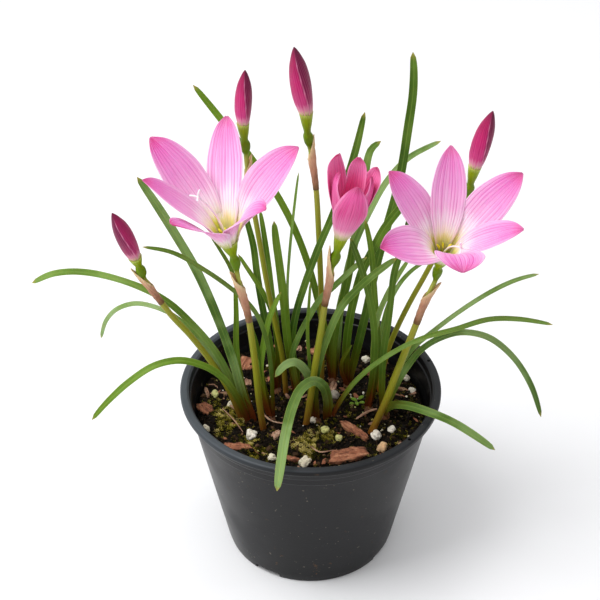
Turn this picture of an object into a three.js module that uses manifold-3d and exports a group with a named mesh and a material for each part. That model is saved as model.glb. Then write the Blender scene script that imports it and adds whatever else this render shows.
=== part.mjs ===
// A rain lily in a black nursery pot: ten bulbs with grass-like leaves, seven flower stems with buds
// and open flowers, and the potting mix with its bark and perlite. Millimetres, +Z up, the pot's axis
// on Z, the surface that it stands on at z = 0, and the front of the plant towards -Y.
import * as THREE from "three";
import { mergeVertices } from "three/addons/utils/BufferGeometryUtils.js";
import Module from "manifold-3d";

const wasm = await Module();
wasm.setup();

// Driving sizes.
const pot = {
  rimRadius: 65,
  height: 96,
  baseRadius: 43,
  wall: 1.4,
  lipWidth: 4.2,
  lipDrop: 3.5,
  lipRound: 0.8,
  bandDrop: 13.5,
  bandStep: 0.5,
  sides: 36,
};
const drain = { count: 4, firstDegrees: -121, widthDegrees: 19, height: 3.2, depth: 7 };
const soil = { level: 82, relief: 0.7, rings: 3, sides: 24, floorGap: 0.3, wallGap: 0.4 };
const bulb = {
  radius: 8,
  bottom: 34,
  middle: 44,
  shoulder: 57,
  neckDrop: 9,
  neck: 3.2,
  neckTop: 4,
  mouth: 4.5,
  mouthDrop: 3,
  sides: 8,
  holeGap: 0.5,
};
const leafSize = {
  thickness: 1,
  step: 15,
  sink: 4,
  tipLength: 9,
  tipWidth: 0.25,
  rootWidth: 0.7,
  edgeRise: 0.35,
  keelDrop: 0.75,
  channelRise: 0.25,
};
const stemSize = {
  foot: 12,
  pedicel: 0.95,
  ovary: 2.3,
  ovaryHalf: 1.2,
  neck: 1.9,
  taper: 0.12,
  steps: 5,
  sides: 6,
  holeGap: 0.6,
};
const sheathSize = { wall: 0.6, gap: 0.35, swell: 0.4, tongue: 6, drop: 2, steps: 3, sides: 6 };
const tepalSize = { thickness: 0.7, along: 5, across: 4, inset: 0.6, hollow: 0.42, tipHollow: 0.24 };
const floorSize = { height: 1.2, flare: 0.4 };
const stamenSize = { filament: 0.45, anther: 0.8, antherLength: 3.4, style: 0.5, lobe: 3 };
const seatGap = 0.3;

// The reference view is 600 pixels square. It looks along +Y and down, from a point above the front.
const view = { centre: 300, focal: 1464, distance: 700, elevation: 35.8, aimX: -5.3, aimZ: 147.3 };

// Each tuft has the place where it leaves the potting mix, the place of its bulb below, and its leaves.
// A leaf runs from its root to its tip through places in the reference view. It leans away from the
// front by lean at its tip, and turn rolls its face from the view up towards the sky.
const tufts = [
  {
    name: "left",
    root: [251, 422],
    bulb: [-36, -18],
    leaves: [
      {
        width: 4.2, lean: 22, turn: 40,
        via: [
          [249, 420], [236, 392], [215, 352], [190, 323], [165, 301], [130, 284], [85, 273], [55, 274],
          [32, 283],
        ],
      },
      {
        width: 3, lean: 36, turn: 40,
        via: [
          [250, 419], [238, 395], [222, 368], [205, 346], [188, 328], [170, 314], [150, 306],
          [135, 304], [118, 309], [107, 320], [101, 338],
        ],
      },
      {
        width: 4, lean: -22, turn: 35,
        via: [
          [248, 423], [238, 400], [222, 378], [205, 367], [180, 361], [155, 366], [130, 382],
          [108, 402], [92, 420],
        ],
      },
      {
        width: 4.5, lean: 30, turn: 10,
        via: [
          [252, 420], [244, 400], [232, 358], [215, 312], [196, 270], [176, 236], [155, 203],
          [137, 177],
        ],
      },
      {
        width: 3, lean: 26, turn: 20,
        via: [
          [254, 421], [247, 400], [240, 375], [236, 345], [236, 315], [235, 285],
        ],
      },
    ],
  },
  {
    name: "front_left",
    root: [272, 418],
    bulb: [-19, -18],
    leaves: [
      {
        width: 3.4, lean: 6, turn: 30,
        via: [
          [270, 417], [264, 395], [261, 370], [264, 345], [270, 318], [281, 292],
        ],
      },
      {
        width: 3, lean: -18, turn: 45,
        via: [
          [273, 418], [272, 398], [271, 375], [267, 345], [259, 320], [249, 305], [232, 290],
          [205, 271], [172, 253], [142, 247],
        ],
      },
      {
        width: 2.4, lean: 6, turn: 40,
        via: [
          [272, 416], [263, 380], [258, 350], [250, 325], [240, 298], [230, 268], [219, 249],
          [208, 232],
        ],
      },
    ],
  },
  {
    name: "back_left",
    root: [276, 389],
    bulb: [-20, 8],
    leaves: [
      {
        width: 3.6, lean: 26, turn: 10,
        via: [
          [276, 389], [273, 365], [268, 335], [262, 305], [257, 275], [253, 245], [247, 222],
          [243, 208],
        ],
      },
      {
        width: 3, lean: 36, turn: 10,
        via: [
          [278, 388], [279, 360], [277, 330], [272, 295], [268, 262], [264, 235], [260, 210],
        ],
      },
      {
        width: 2.8, lean: 14, turn: 30,
        via: [
          [275, 390], [277, 350], [272, 315], [264, 295], [254, 279], [244, 264], [238, 254],
        ],
      },
    ],
  },
  {
    name: "middle",
    root: [298, 396],
    bulb: [-3, 6],
    leaves: [
      {
        width: 4.1, lean: 0, turn: 0,
        via: [
          [297, 395], [293, 370], [289, 350], [286, 325], [283, 295], [279, 262], [276, 240],
          [274, 221],
        ],
      },
      {
        width: 2.8, lean: 22, turn: 60,
        via: [
          [299, 394], [295, 372], [291, 345], [289, 315], [288, 290], [290, 255], [294, 215],
          [299, 172],
        ],
      },
      {
        width: 3.8, lean: 12, turn: 20,
        via: [
          [299, 396], [296, 370], [292, 345], [296, 315], [305, 285], [318, 250], [331, 220],
          [345, 185], [356, 150], [365, 112],
        ],
      },
      {
        width: 3.4, lean: -10, turn: 30,
        via: [
          [300, 397], [295, 375], [293, 355], [300, 335], [309, 318], [320, 300], [335, 286],
          [350, 272], [367, 257],
        ],
      },
    ],
  },
  {
    name: "front_middle",
    root: [316, 420],
    bulb: [0, -22],
    leaves: [
      {
        width: 2.4, lean: -8, turn: 50,
        via: [
          [315, 419], [313, 395], [310, 372], [308, 350], [307, 330], [308, 310], [310, 283],
        ],
      },
      {
        width: 3.8, lean: -18, turn: 20,
        via: [
          [317, 419], [315, 395], [318, 368], [326, 342], [342, 307], [358, 289], [375, 274],
          [397, 258],
        ],
      },
      {
        width: 4, lean: -12, turn: 10, step: 6,
        via: [
          [315, 418], [312, 395], [309, 380], [303, 368], [294, 361], [284, 363], [278, 379],
        ],
      },
    ],
  },
  {
    name: "front_right",
    root: [330, 417],
    bulb: [16, -15],
    leaves: [
      {
        width: 4.8, lean: -72, bow: 1.2, turn: 0, step: 7,
        via: [
          [327, 418], [328, 402], [323, 386], [313, 381], [301, 389], [292, 408], [286, 432],
          [281, 462], [277, 491],
        ],
      },
      {
        width: 3.6, lean: -38, bow: 1, turn: 50,
        via: [
          [333, 417], [342, 400], [354, 384], [370, 369], [392, 354], [415, 342], [432, 336],
          [455, 330], [490, 320], [520, 320], [553, 325],
        ],
      },
    ],
  },
  {
    name: "back_middle",
    root: [333, 378],
    bulb: [6, 26],
    leaves: [
      {
        width: 3.7, lean: 34, turn: 20,
        via: [
          [331, 378], [329, 355], [324, 328], [318, 302], [311, 275], [302, 248], [290, 220],
          [274, 191], [252, 160], [222, 121], [193, 85],
        ],
      },
      {
        width: 4.3, lean: 40, turn: 10,
        via: [
          [334, 377], [336, 345], [340, 310], [347, 280], [353, 250], [358, 222], [364, 185],
          [371, 150], [381, 141],
        ],
      },
      {
        width: 3.6, lean: 26, turn: 30,
        via: [
          [335, 378], [338, 350], [342, 305], [349, 264], [358, 238], [370, 212], [387, 182],
          [408, 159], [441, 141],
        ],
      },
      {
        width: 4, lean: 3, turn: 10,
        via: [
          [333, 379], [333, 352], [337, 322], [345, 292], [350, 268], [352, 244],
        ],
      },
    ],
  },
  {
    name: "back_right",
    root: [348, 384],
    bulb: [23, 24],
    leaves: [
      {
        width: 4.3, lean: 16, turn: 10,
        via: [
          [349, 383], [355, 358], [362, 330], [368, 305], [374, 278], [380, 253], [389, 220],
          [396, 195], [402, 168], [408, 130], [413, 95], [414, 70], [413, 52],
        ],
      },
      {
        width: 4.2, lean: -6, turn: 10,
        via: [
          [347, 384], [346, 358], [349, 325], [354, 300], [362, 272], [372, 252], [385, 228],
          [403, 205], [416, 188],
        ],
      },
      {
        width: 2.4, lean: -2, turn: 30,
        via: [
          [348, 386], [342, 372], [342, 362], [346, 354], [352, 345],
        ],
      },
    ],
  },
  {
    name: "right",
    root: [368, 408],
    bulb: [31, 6],
    leaves: [
      {
        width: 3.5, lean: -8, turn: 20,
        via: [
          [367, 407], [371, 385], [374, 352], [374, 330], [371, 308], [366, 285], [359, 262],
          [350, 238],
        ],
      },
      {
        width: 3.2, lean: 16, turn: 20,
        via: [
          [369, 407], [375, 380], [378, 350], [376, 318], [374, 290], [372, 262], [370, 245],
          [365, 220],
        ],
      },
      {
        width: 3, lean: 8, turn: 30,
        via: [
          [369, 408], [373, 375], [374, 345], [378, 318], [386, 298], [397, 278], [410, 258],
        ],
      },
      {
        width: 2.8, lean: 24, turn: 40,
        via: [
          [370, 407], [378, 365], [382, 332], [389, 305], [400, 284], [413, 270], [430, 259],
        ],
      },
    ],
  },
  {
    name: "far_right",
    root: [384, 413],
    bulb: [34, -12],
    leaves: [
      {
        width: 3.3, lean: 6, turn: 10,
        via: [
          [383, 412], [382, 385], [384, 350], [388, 325], [391, 300], [394, 275], [399, 257],
          [408, 225], [411, 210],
        ],
      },
      {
        width: 3.4, lean: 24, turn: 45,
        via: [
          [385, 412], [393, 388], [402, 365], [414, 348], [432, 333], [460, 312], [490, 293],
          [515, 281], [539, 274],
        ],
      },
      {
        width: 4, lean: -34, turn: 40,
        via: [
          [385, 414], [396, 387], [408, 367], [422, 350], [442, 338], [463, 333], [488, 338],
          [512, 357], [530, 385], [541, 417],
        ],
      },
      {
        width: 4.2, lean: -32, bow: 0.6, turn: 20,
        via: [
          [384, 415], [388, 408], [396, 405], [408, 406], [425, 411], [450, 421], [472, 434],
          [495, 450],
        ],
      },
    ],
  },
];

// Each flower stem has the places of its stem from root to pedicel, of its ovary and of the mouth of
// its green tube. sheath is the place in via where the papery sheath starts. The mouth lies reach
// nearer the front than the ovary.
const stems = [
  {
    name: "1", radius: 1.6, lean: -4,
    via: [
      [241, 417], [228, 388], [210, 360], [190, 335], [172, 316], [161, 302], [149, 286], [144, 278],
    ],
    sheath: 5, ovary: [141, 271], mouth: [135, 257], mouthRadius: 3.2, reach: 2,
    bud: { tip: [112, 213], radius: 4.1 },
  },
  {
    name: "2", radius: 1.7, lean: -14,
    via: [
      [263, 427], [259, 400], [256, 370], [252, 340], [249, 320], [244, 300], [239, 282], [237, 272],
    ],
    sheath: 4, ovary: [235, 262], mouth: [228, 240], mouthRadius: 4.4, reach: 3,
  },
  {
    name: "3", radius: 1.4, lean: 0,
    via: [
      [286, 394], [283, 360], [277, 330], [271, 303], [266, 278], [261, 250], [256, 222], [250, 190],
      [247, 166], [246, 155],
    ],
    sheath: 7, ovary: [245, 146], mouth: [243, 123], mouthRadius: 2.9, reach: 2,
    bud: { tip: [245, 70], radius: 3.8 },
  },
  {
    name: "4", radius: 1.5, lean: 8,
    via: [
      [321, 386], [322, 340], [321, 290], [319, 240], [317, 200], [316, 188], [313, 165], [310, 148],
    ],
    sheath: 5, ovary: [308, 138], mouth: [306, 112], mouthRadius: 3.3, reach: 3,
    bud: { tip: [294, 47], radius: 4.7 },
  },
  {
    name: "5", radius: 1.7, lean: -6,
    via: [
      [306, 425], [311, 395], [316, 360], [321, 330], [325, 304], [329, 285], [332, 268],
    ],
    sheath: 4, ovary: [335, 258], mouth: [342, 234], mouthRadius: 3.5, reach: 2,
  },
  {
    name: "6", radius: 1.8, lean: 4,
    via: [
      [372, 431], [385, 403], [397, 372], [408, 345], [417, 322], [424, 304], [431, 289], [435, 281],
    ],
    sheath: 4, ovary: [437, 272], mouth: [442, 256], mouthRadius: 4.2, reach: 7,
  },
  {
    name: "7", radius: 1.4, lean: 14,
    via: [
      [379, 392], [384, 365], [389, 347], [397, 328], [410, 302], [424, 277], [437, 253], [451, 225],
      [463, 203], [467, 196],
    ],
    sheath: 7, ovary: [469, 189], mouth: [475, 166], mouthRadius: 3.2, reach: 3,
    bud: { tip: [493, 111], radius: 4.4 },
  },
];

// Flowers that are open. Each tepal ends at a place in the view, and its tip lies a straight length
// from the mouth of the tube, on the near side or the far side.
const blooms = [
  {
    stem: "2",
    width: 17.5,
    rise: 0.3,
    tepals: [
      { tip: [150, 137], length: 56 },
      { tip: [227, 116], length: 57, far: true, inner: true },
      { tip: [299, 147], length: 53 },
      { tip: [266, 209], length: 42, inner: true },
      { tip: [169, 221], length: 45 },
      { tip: [142, 180], length: 51, inner: true },
    ],
    style: { tip: [198, 197], length: 34 },
    stamens: { reach: 10, spread: 3 },
  },
  {
    stem: "5",
    width: 13.5,
    rise: 0.5,
    tepals: [
      { tip: [340, 154], length: 39.5 },
      { tip: [359, 157], length: 39, inner: true },
      { tip: [377, 168], length: 37.5 },
      { tip: [371, 178], length: 35, width: 11, inner: true },
      { tip: [358, 187], length: 34, width: 15.5 },
      { tip: [338, 172], length: 35, width: 11, inner: true },
    ],
    style: { tip: [352, 193], length: 22 },
    stamens: { reach: 9, spread: 1.6 },
  },
  {
    stem: "6",
    width: 16.5,
    rise: 0.3,
    tepals: [
      { tip: [389, 171], length: 48 },
      { tip: [451, 145], length: 51, inner: true },
      { tip: [523, 173], length: 53 },
      { tip: [524, 229], length: 46, inner: true },
      { tip: [467, 273], length: 42 },
      { tip: [380, 248], length: 43, width: 19, inner: true },
    ],
    style: { tip: [461, 248], length: 24 },
    stamens: { reach: 9, spread: 3 },
  },
];

// Perlite grains, each with its place in the view and its diameter.
const perlite = [
  [251, 434, 5.4], [215, 394, 3.8], [206, 427, 4], [231, 404, 3.4], [305, 462, 5.8],
  [313, 420, 4.4], [325, 431, 4.8], [376, 435, 5.2], [392, 430, 4.2], [382, 449, 5],
  [412, 391, 4.2], [416, 372, 3.6], [366, 360, 4.2], [334, 396, 5.2], [296, 341, 3.4],
  [272, 457, 3.8], [339, 438, 3.4],
];

// Bark chips, each with its middle in the view, its length, width and thickness, and its heading.
const chips = [
  { name: "front_right", at: [348, 455], size: [21, 9, 3.2], heading: 14 },
  { name: "front_slanting", at: [354, 431], size: [19, 4.6, 3], heading: -48 },
  { name: "front_left", at: [236, 446], size: [16, 5, 2.6], heading: -3 },
  { name: "left", at: [205, 406], size: [10, 7, 2.4], heading: -55 },
  { name: "back_left", at: [245, 363], size: [11, 10, 3.4], heading: 70 },
];

const colours = {
  pot: 0x2e3033,
  soil: 0x2b2119,
  leaf: 0x4a7a23,
  stem: 0x8a9a35,
  sheath: 0xb07f66,
  tepal: 0xf09ad2,
  bud: 0xc73a78,
  stamen: 0xe6d84a,
  bark: 0x8d543a,
};

const radians = THREE.MathUtils.degToRad;
const up = new THREE.Vector3(0, 0, 1);
const plant = new THREE.Group();

// The eye of the reference view, and where its lines meet the plant.
const tilt = radians(view.elevation);
const back = new THREE.Vector3(0, -Math.cos(tilt), Math.sin(tilt));
const picUp = new THREE.Vector3(0, Math.sin(tilt), Math.cos(tilt));
const eye = new THREE.Vector3(view.aimX, 0, view.aimZ).addScaledVector(back, view.distance);

function lineOfSight([px, py]) {
  return back
    .clone()
    .multiplyScalar(-view.focal)
    .addScaledVector(picUp, view.centre - py)
    .add(new THREE.Vector3(px - view.centre, 0, 0));
}

function seenAt(place, y) {
  const line = lineOfSight(place);
  return eye.clone().addScaledVector(line, (y - eye.y) / line.y);
}

function onSoil(place) {
  const line = lineOfSight(place);
  return eye.clone().addScaledVector(line, (soil.level - eye.z) / line.z);
}

// The place on the line of sight that lies a given length from a centre, on its near or far side.
function seenFrom(place, centre, length, far) {
  const line = lineOfSight(place).normalize();
  const along = centre.clone().sub(eye).dot(line);
  const nearest = eye.clone().addScaledVector(line, along);
  const half = Math.sqrt(Math.max(length ** 2 - nearest.distanceToSquared(centre), 0));
  return nearest.addScaledVector(line, far ? half : -half);
}

// A geometry as a solid that can be joined and cut, and back again.
function solid(geometry) {
  const bare = geometry.clone();
  bare.deleteAttribute("normal");
  bare.deleteAttribute("uv");
  const merged = mergeVertices(bare, 1e-4);
  const index = merged.index.array;
  const kept = [];
  for (let i = 0; i < index.length; i += 3) {
    const [a, b, c] = [index[i], index[i + 1], index[i + 2]];
    if (a !== b && b !== c && c !== a) kept.push(a, b, c);
  }
  const vertProperties = new Float32Array(merged.attributes.position.array);
  const made = new wasm.Manifold(
    new wasm.Mesh({ numProp: 3, vertProperties, triVerts: new Uint32Array(kept) }),
  );
  if (made.volume() > 0) return made;
  for (let i = 0; i < kept.length; i += 3) [kept[i], kept[i + 1]] = [kept[i + 1], kept[i]];
  return new wasm.Manifold(
    new wasm.Mesh({ numProp: 3, vertProperties, triVerts: new Uint32Array(kept) }),
  );
}

function geometryOf(made) {
  const { numProp, vertProperties, triVerts } = made.getMesh();
  const count = vertProperties.length / numProp;
  const position = new Float32Array(count * 3);
  for (let i = 0; i < count; i++) {
    position.set(vertProperties.subarray(i * numProp, i * numProp + 3), i * 3);
  }
  const geometry = new THREE.BufferGeometry();
  geometry.setAttribute("position", new THREE.BufferAttribute(position, 3));
  geometry.setIndex(new THREE.BufferAttribute(new Uint32Array(triVerts), 1));
  geometry.computeVertexNormals();
  return geometry;
}

function join(solids) {
  return solids.reduce((whole, next) => whole.add(next));
}

// The one body of a solid: a hollow that joining sealed is filled, and a loose scrap is dropped.
function oneBody(made) {
  return made.decompose().reduce((most, next) => (next.volume() > most.volume() ? next : most));
}

function place(name, made, color, roughness) {
  const material = new THREE.MeshStandardMaterial({ color, roughness, metalness: 0 });
  const mesh = new THREE.Mesh(geometryOf(oneBody(made)), material);
  mesh.name = name;
  plant.add(mesh);
}

// Closed skin over rings of points that all have the same count, with flat ends.
function skin(rings) {
  const count = rings[0].length;
  const position = rings.flat().flatMap((p) => [p.x, p.y, p.z]);
  const index = [];
  for (let i = 0; i + 1 < rings.length; i++) {
    for (let j = 0; j < count; j++) {
      const k = (j + 1) % count;
      const [a, b, c, d] = [i * count + j, i * count + k, (i + 1) * count + k, (i + 1) * count + j];
      index.push(a, b, c, a, c, d);
    }
  }
  const last = (rings.length - 1) * count;
  for (let j = 1; j + 1 < count; j++) {
    index.push(0, j + 1, j);
    index.push(last, last + j, last + j + 1);
  }
  const geometry = new THREE.BufferGeometry();
  geometry.setAttribute("position", new THREE.Float32BufferAttribute(position, 3));
  geometry.setIndex(index);
  return solid(geometry);
}

// Round rod along points of a path, with a radius for each point.
function rod(points, radii, sides) {
  let side = new THREE.Vector3();
  const rings = points.map((point, i) => {
    const before = points[Math.max(i - 1, 0)];
    const after = points[Math.min(i + 1, points.length - 1)];
    const forward = after.clone().sub(before).normalize();
    if (i === 0) side = forward.clone().cross(Math.abs(forward.z) < 0.9 ? up : new THREE.Vector3(1, 0, 0));
    side.addScaledVector(forward, -side.dot(forward)).normalize();
    const other = forward.clone().cross(side);
    return Array.from({ length: sides }, (_, j) => {
      const turn = (2 * Math.PI * j) / sides;
      return point
        .clone()
        .addScaledVector(side, radii[i] * Math.cos(turn))
        .addScaledVector(other, radii[i] * Math.sin(turn));
    });
  });
  return skin(rings);
}

// The smooth path through places in the view, which leans away from the front towards its end.
function pathOf(via, lean, bow = 1.4) {
  const root = onSoil(via[0]);
  const runs = [0];
  for (let i = 1; i < via.length; i++) {
    runs.push(runs[i - 1] + Math.hypot(via[i][0] - via[i - 1][0], via[i][1] - via[i - 1][1]));
  }
  const points = via.map((at, i) => seenAt(at, root.y + lean * (runs[i] / runs.at(-1)) ** bow));
  points[0] = root;
  return points;
}

// A grass-like blade with a shallow channel. Its root sinks into the neck of its bulb.
function blade({ width, lean, bow, turn, via, step = leafSize.step }, neck) {
  const path = pathOf(via, lean, bow);
  const root = path[0].clone().lerp(neck, 0.3).setZ(soil.level - leafSize.sink);
  const curve = new THREE.CatmullRomCurve3([root, ...path], false, "centripetal");
  const length = curve.getLength();
  const { thickness, tipLength, tipWidth, rootWidth, edgeRise, keelDrop, channelRise } = leafSize;
  const count = Math.round((length - tipLength) / step);
  const stations = [];
  for (let i = 0; i <= count; i++) {
    const share = (i / count) * (1 - tipLength / length);
    stations.push([share, Math.min(1, rootWidth + 3 * share)]);
  }
  stations.push([1 - (0.35 * tipLength) / length, 0.76], [1, tipWidth]);
  const roll = radians(turn) * Math.sign(path[0].x - path.at(-1).x);
  const rings = stations.map(([share, widthShare]) => {
    const middle = curve.getPointAt(share);
    const forward = curve.getTangentAt(share);
    const side = forward.clone().cross(eye.clone().sub(middle)).normalize();
    const facing = side.clone().cross(forward);
    const normal = facing.multiplyScalar(Math.cos(roll)).addScaledVector(side, Math.sin(roll));
    const across = normal.clone().cross(forward);
    const half = (width / 2) * widthShare;
    const thick = thickness * Math.max(widthShare, 0.7);
    return [
      middle.clone().addScaledVector(across, -half).addScaledVector(normal, edgeRise * thick),
      middle.clone().addScaledVector(normal, -keelDrop * thick),
      middle.clone().addScaledVector(across, half).addScaledVector(normal, edgeRise * thick),
      middle.clone().addScaledVector(normal, channelRise * thick),
    ];
  });
  return skin(rings);
}

// The bulb and its slanting neck, from the root plate up to where the leaves part.
function bulbPath(tuft) {
  const [x, y] = tuft.bulb;
  const top = onSoil(tuft.root);
  const below = top.clone().setZ(soil.level - bulb.neckDrop);
  const { radius, bottom, middle, shoulder, neck } = bulb;
  const rise = (z, share) => new THREE.Vector3(x, y, z).lerp(below.clone().setZ(z), share);
  return [
    { at: rise(bottom, 0), r: radius * 0.45 },
    { at: rise(bottom + 3.5, 0), r: radius * 0.85 },
    { at: rise(middle, 0), r: radius },
    { at: rise(shoulder, 0.3), r: radius * 0.5 },
    { at: below, r: neck },
    { at: top.clone().setZ(soil.level - 1), r: neck },
    { at: top.clone().setZ(soil.level + bulb.neckTop), r: neck * 0.35 },
  ];
}

function tuftOf(tuft) {
  const path = bulbPath(tuft);
  const body = rod(path.map((p) => p.at), path.map((p) => p.r), bulb.sides);
  return join([body, ...tuft.leaves.map((leaf) => blade(leaf, path[5].at))]);
}

// The hole of a tuft in the potting mix: the bulb's own form a little larger, open at the top.
function tuftHole(tuft) {
  const path = bulbPath(tuft);
  const points = path.map((p) => p.at);
  const top = onSoil(tuft.root);
  const radii = path.map((p) => p.r + bulb.holeGap);
  points[0] = points[0].clone().setZ(bulb.bottom - bulb.holeGap);
  points[5] = top.clone().setZ(soil.level - bulb.mouthDrop);
  radii[5] = bulb.mouth;
  radii[6] = bulb.mouth;
  return rod(points, radii, bulb.sides);
}

// The points, radii and marks of one flower stem, from its foot in the mix to the mouth of its tube.
function stemParts({ radius, lean, via, sheath, ovary, mouth, mouthRadius, reach }) {
  const places = pathOf(via, lean);
  const topY = places.at(-1).y;
  const ovaryAt = seenAt(ovary, topY - 0.2 * reach);
  const mouthAt = seenAt(mouth, topY - reach);
  const foot = places[0].clone().lerp(places[1], -stemSize.foot / places[0].distanceTo(places[1]));
  const curve = new THREE.CatmullRomCurve3([foot, ...places, ovaryAt, mouthAt], false, "centripetal");
  const length = curve.getLength();
  const shareOf = (target) => {
    let best = 0;
    let nearest = Infinity;
    for (let s = 0; s <= 400; s++) {
      const gap = curve.getPointAt(s / 400).distanceTo(target);
      if (gap < nearest) [best, nearest] = [s / 400, gap];
    }
    return best;
  };
  const marks = {
    sheath: shareOf(places[sheath]),
    pedicel: shareOf(places.at(-1)),
    ovary: shareOf(ovaryAt),
  };
  const step = 1 / length;
  const stations = [];
  for (let i = 0; i <= stemSize.steps; i++) {
    const share = (marks.sheath * i) / stemSize.steps;
    stations.push({ share, r: radius * (1 - stemSize.taper * share) });
  }
  stations.push({ share: marks.sheath + 0.8 * step, r: stemSize.pedicel });
  stations.push({ share: (marks.sheath + marks.pedicel) / 2, r: stemSize.pedicel });
  stations.push({ share: marks.pedicel, r: stemSize.pedicel });
  stations.push({ share: marks.ovary - stemSize.ovaryHalf * step, r: stemSize.ovary * 0.9 });
  stations.push({ share: marks.ovary + stemSize.ovaryHalf * step, r: stemSize.ovary * 0.95 });
  stations.push({ share: marks.ovary + 3 * stemSize.ovaryHalf * step, r: stemSize.neck });
  stations.push({ share: (marks.ovary + 1) / 2 + 1.5 * step, r: (stemSize.neck + mouthRadius) / 2 });
  stations.push({ share: 1, r: mouthRadius });
  const axis = mouthAt.clone().sub(ovaryAt).normalize();
  return { curve, stations, marks, mouthAt, mouthRadius, axis, length, radius };
}

// The papery sheath round the pedicel: a sleeve that splits open into a tongue beside the ovary.
function sheathOf({ curve, marks, length }) {
  const { wall, gap, swell, tongue, drop, steps, sides } = sheathSize;
  const start = marks.sheath + 1.2 / length;
  const end = marks.pedicel - drop / length;
  const narrow = stemSize.pedicel + gap + wall;
  const wide = stemSize.ovary + gap + wall;
  const outer = [];
  const inner = [];
  for (let i = 0; i <= steps; i++) {
    const share = i / steps;
    const middle = curve.getPointAt(start + (end - start) * share);
    const forward = curve.getTangentAt(start + (end - start) * share);
    const side = forward.clone().cross(back).normalize();
    const other = forward.clone().cross(side);
    const ring = (inset) =>
      Array.from({ length: sides }, (_, j) => {
        const turn = (2 * Math.PI * j) / sides;
        const outwards = (1 + Math.cos(turn)) / 2;
        const opening = (wide - narrow) * share ** 2 * outwards;
        const r = narrow + opening + swell * Math.sin(Math.PI * share) - inset;
        return middle
          .clone()
          .addScaledVector(forward, tongue * share ** 3 * outwards ** 2)
          .addScaledVector(side, r * Math.cos(turn))
          .addScaledVector(other, r * Math.sin(turn));
      });
    outer.push(ring(0));
    inner.push(ring(wall));
  }
  return skin(outer).subtract(skin(extended(inner)));
}

// The same rings with the ends moved outwards, so that a cut runs clear through both end faces.
function extended(rings) {
  const onwards = (from, to) => to.clone().sub(from).normalize().add(to);
  const shift = (from, to) => to.map((point, j) => onwards(from[j], point));
  return [shift(rings[1], rings[0]), ...rings, shift(rings.at(-2), rings.at(-1))];
}

// Half of a tepal's width at even steps from its claw to its tip, as shares of the widest.
const tepalOutline = [0.27, 0.64, 0.96, 1, 0.76, 0.1];

// One tepal: a thin curved leaf from the mouth of the tube to its tip, hollow towards the axis.
function tepalOf(bloom, { tip, length, far, inner, width = bloom.width }, { mouthAt, mouthRadius, axis }) {
  const end = seenFrom(tip, mouthAt, length, far);
  const chord = end.clone().sub(mouthAt);
  const outward = chord.clone().addScaledVector(axis, -chord.dot(axis)).normalize();
  const size = chord.length();
  const claw = mouthRadius - (inner ? 2 : 1) * tepalSize.inset;
  const base = mouthAt.clone().addScaledVector(axis, seatGap).addScaledVector(outward, claw);
  const curve = new THREE.CubicBezierCurve3(
    base,
    base.clone().addScaledVector(axis, bloom.rise * size).addScaledVector(outward, 0.3 * bloom.rise * size),
    mouthAt.clone().addScaledVector(chord, 0.66).addScaledVector(axis, 0.12 * size),
    end,
  );
  const { along, across, thickness } = tepalSize;
  const inside = axis.clone().sub(outward);
  const faces = [[], []];
  for (let i = 0; i <= along; i++) {
    const share = i / along;
    const middle = curve.getPoint(share);
    const forward = curve.getTangent(share);
    const normal = inside.clone().addScaledVector(forward, -inside.dot(forward)).normalize();
    const side = forward.clone().cross(normal);
    const half = (width / 2) * tepalOutline[i];
    const hollow = half * THREE.MathUtils.lerp(tepalSize.hollow, tepalSize.tipHollow, share);
    for (let j = 0; j <= across; j++) {
      const v = (2 * j) / across - 1;
      const point = middle.clone().addScaledVector(side, v * half).addScaledVector(normal, hollow * v * v);
      faces[0].push(point.clone().addScaledVector(normal, thickness / 2));
      faces[1].push(point.clone().addScaledVector(normal, -thickness / 2));
    }
  }
  return sheetSolid(faces, along, across);
}

// A closed thin sheet from two grids of points, split into triangles alike on both faces.
function sheetSolid([top, bottom], along, across) {
  const row = across + 1;
  const index = [];
  const offset = top.length;
  const quad = (a, b, c, d) => index.push(a, b, c, a, c, d);
  for (let i = 0; i < along; i++) {
    for (let j = 0; j < across; j++) {
      const [a, b, c, d] = [i * row + j, i * row + j + 1, (i + 1) * row + j + 1, (i + 1) * row + j];
      quad(a, b, c, d);
      index.push(offset + a, offset + c, offset + b, offset + a, offset + d, offset + c);
    }
  }
  for (let i = 0; i < along; i++) {
    quad(offset + i * row, i * row, (i + 1) * row, offset + (i + 1) * row);
    const edge = i * row + across;
    quad(edge, offset + edge, offset + edge + row, edge + row);
  }
  for (let j = 0; j < across; j++) {
    quad(j, offset + j, offset + j + 1, j + 1);
    const last = along * row;
    quad(offset + last + j, last + j, last + j + 1, offset + last + j + 1);
  }
  const geometry = new THREE.BufferGeometry();
  const position = [...top, ...bottom].flatMap((p) => [p.x, p.y, p.z]);
  geometry.setAttribute("position", new THREE.Float32BufferAttribute(position, 3));
  geometry.setIndex(index);
  return solid(geometry);
}

// The floor of a flower, which holds the claws of its tepals together.
function flowerFloor({ mouthAt, mouthRadius, axis }) {
  const from = mouthAt.clone().addScaledVector(axis, seatGap);
  const to = from.clone().addScaledVector(axis, floorSize.height);
  return rod([from, to], [mouthRadius, mouthRadius + floorSize.flare], 10);
}

function flowerOf(bloom, parts) {
  return join([flowerFloor(parts), ...bloom.tepals.map((tepal) => tepalOf(bloom, tepal, parts))]);
}

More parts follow.
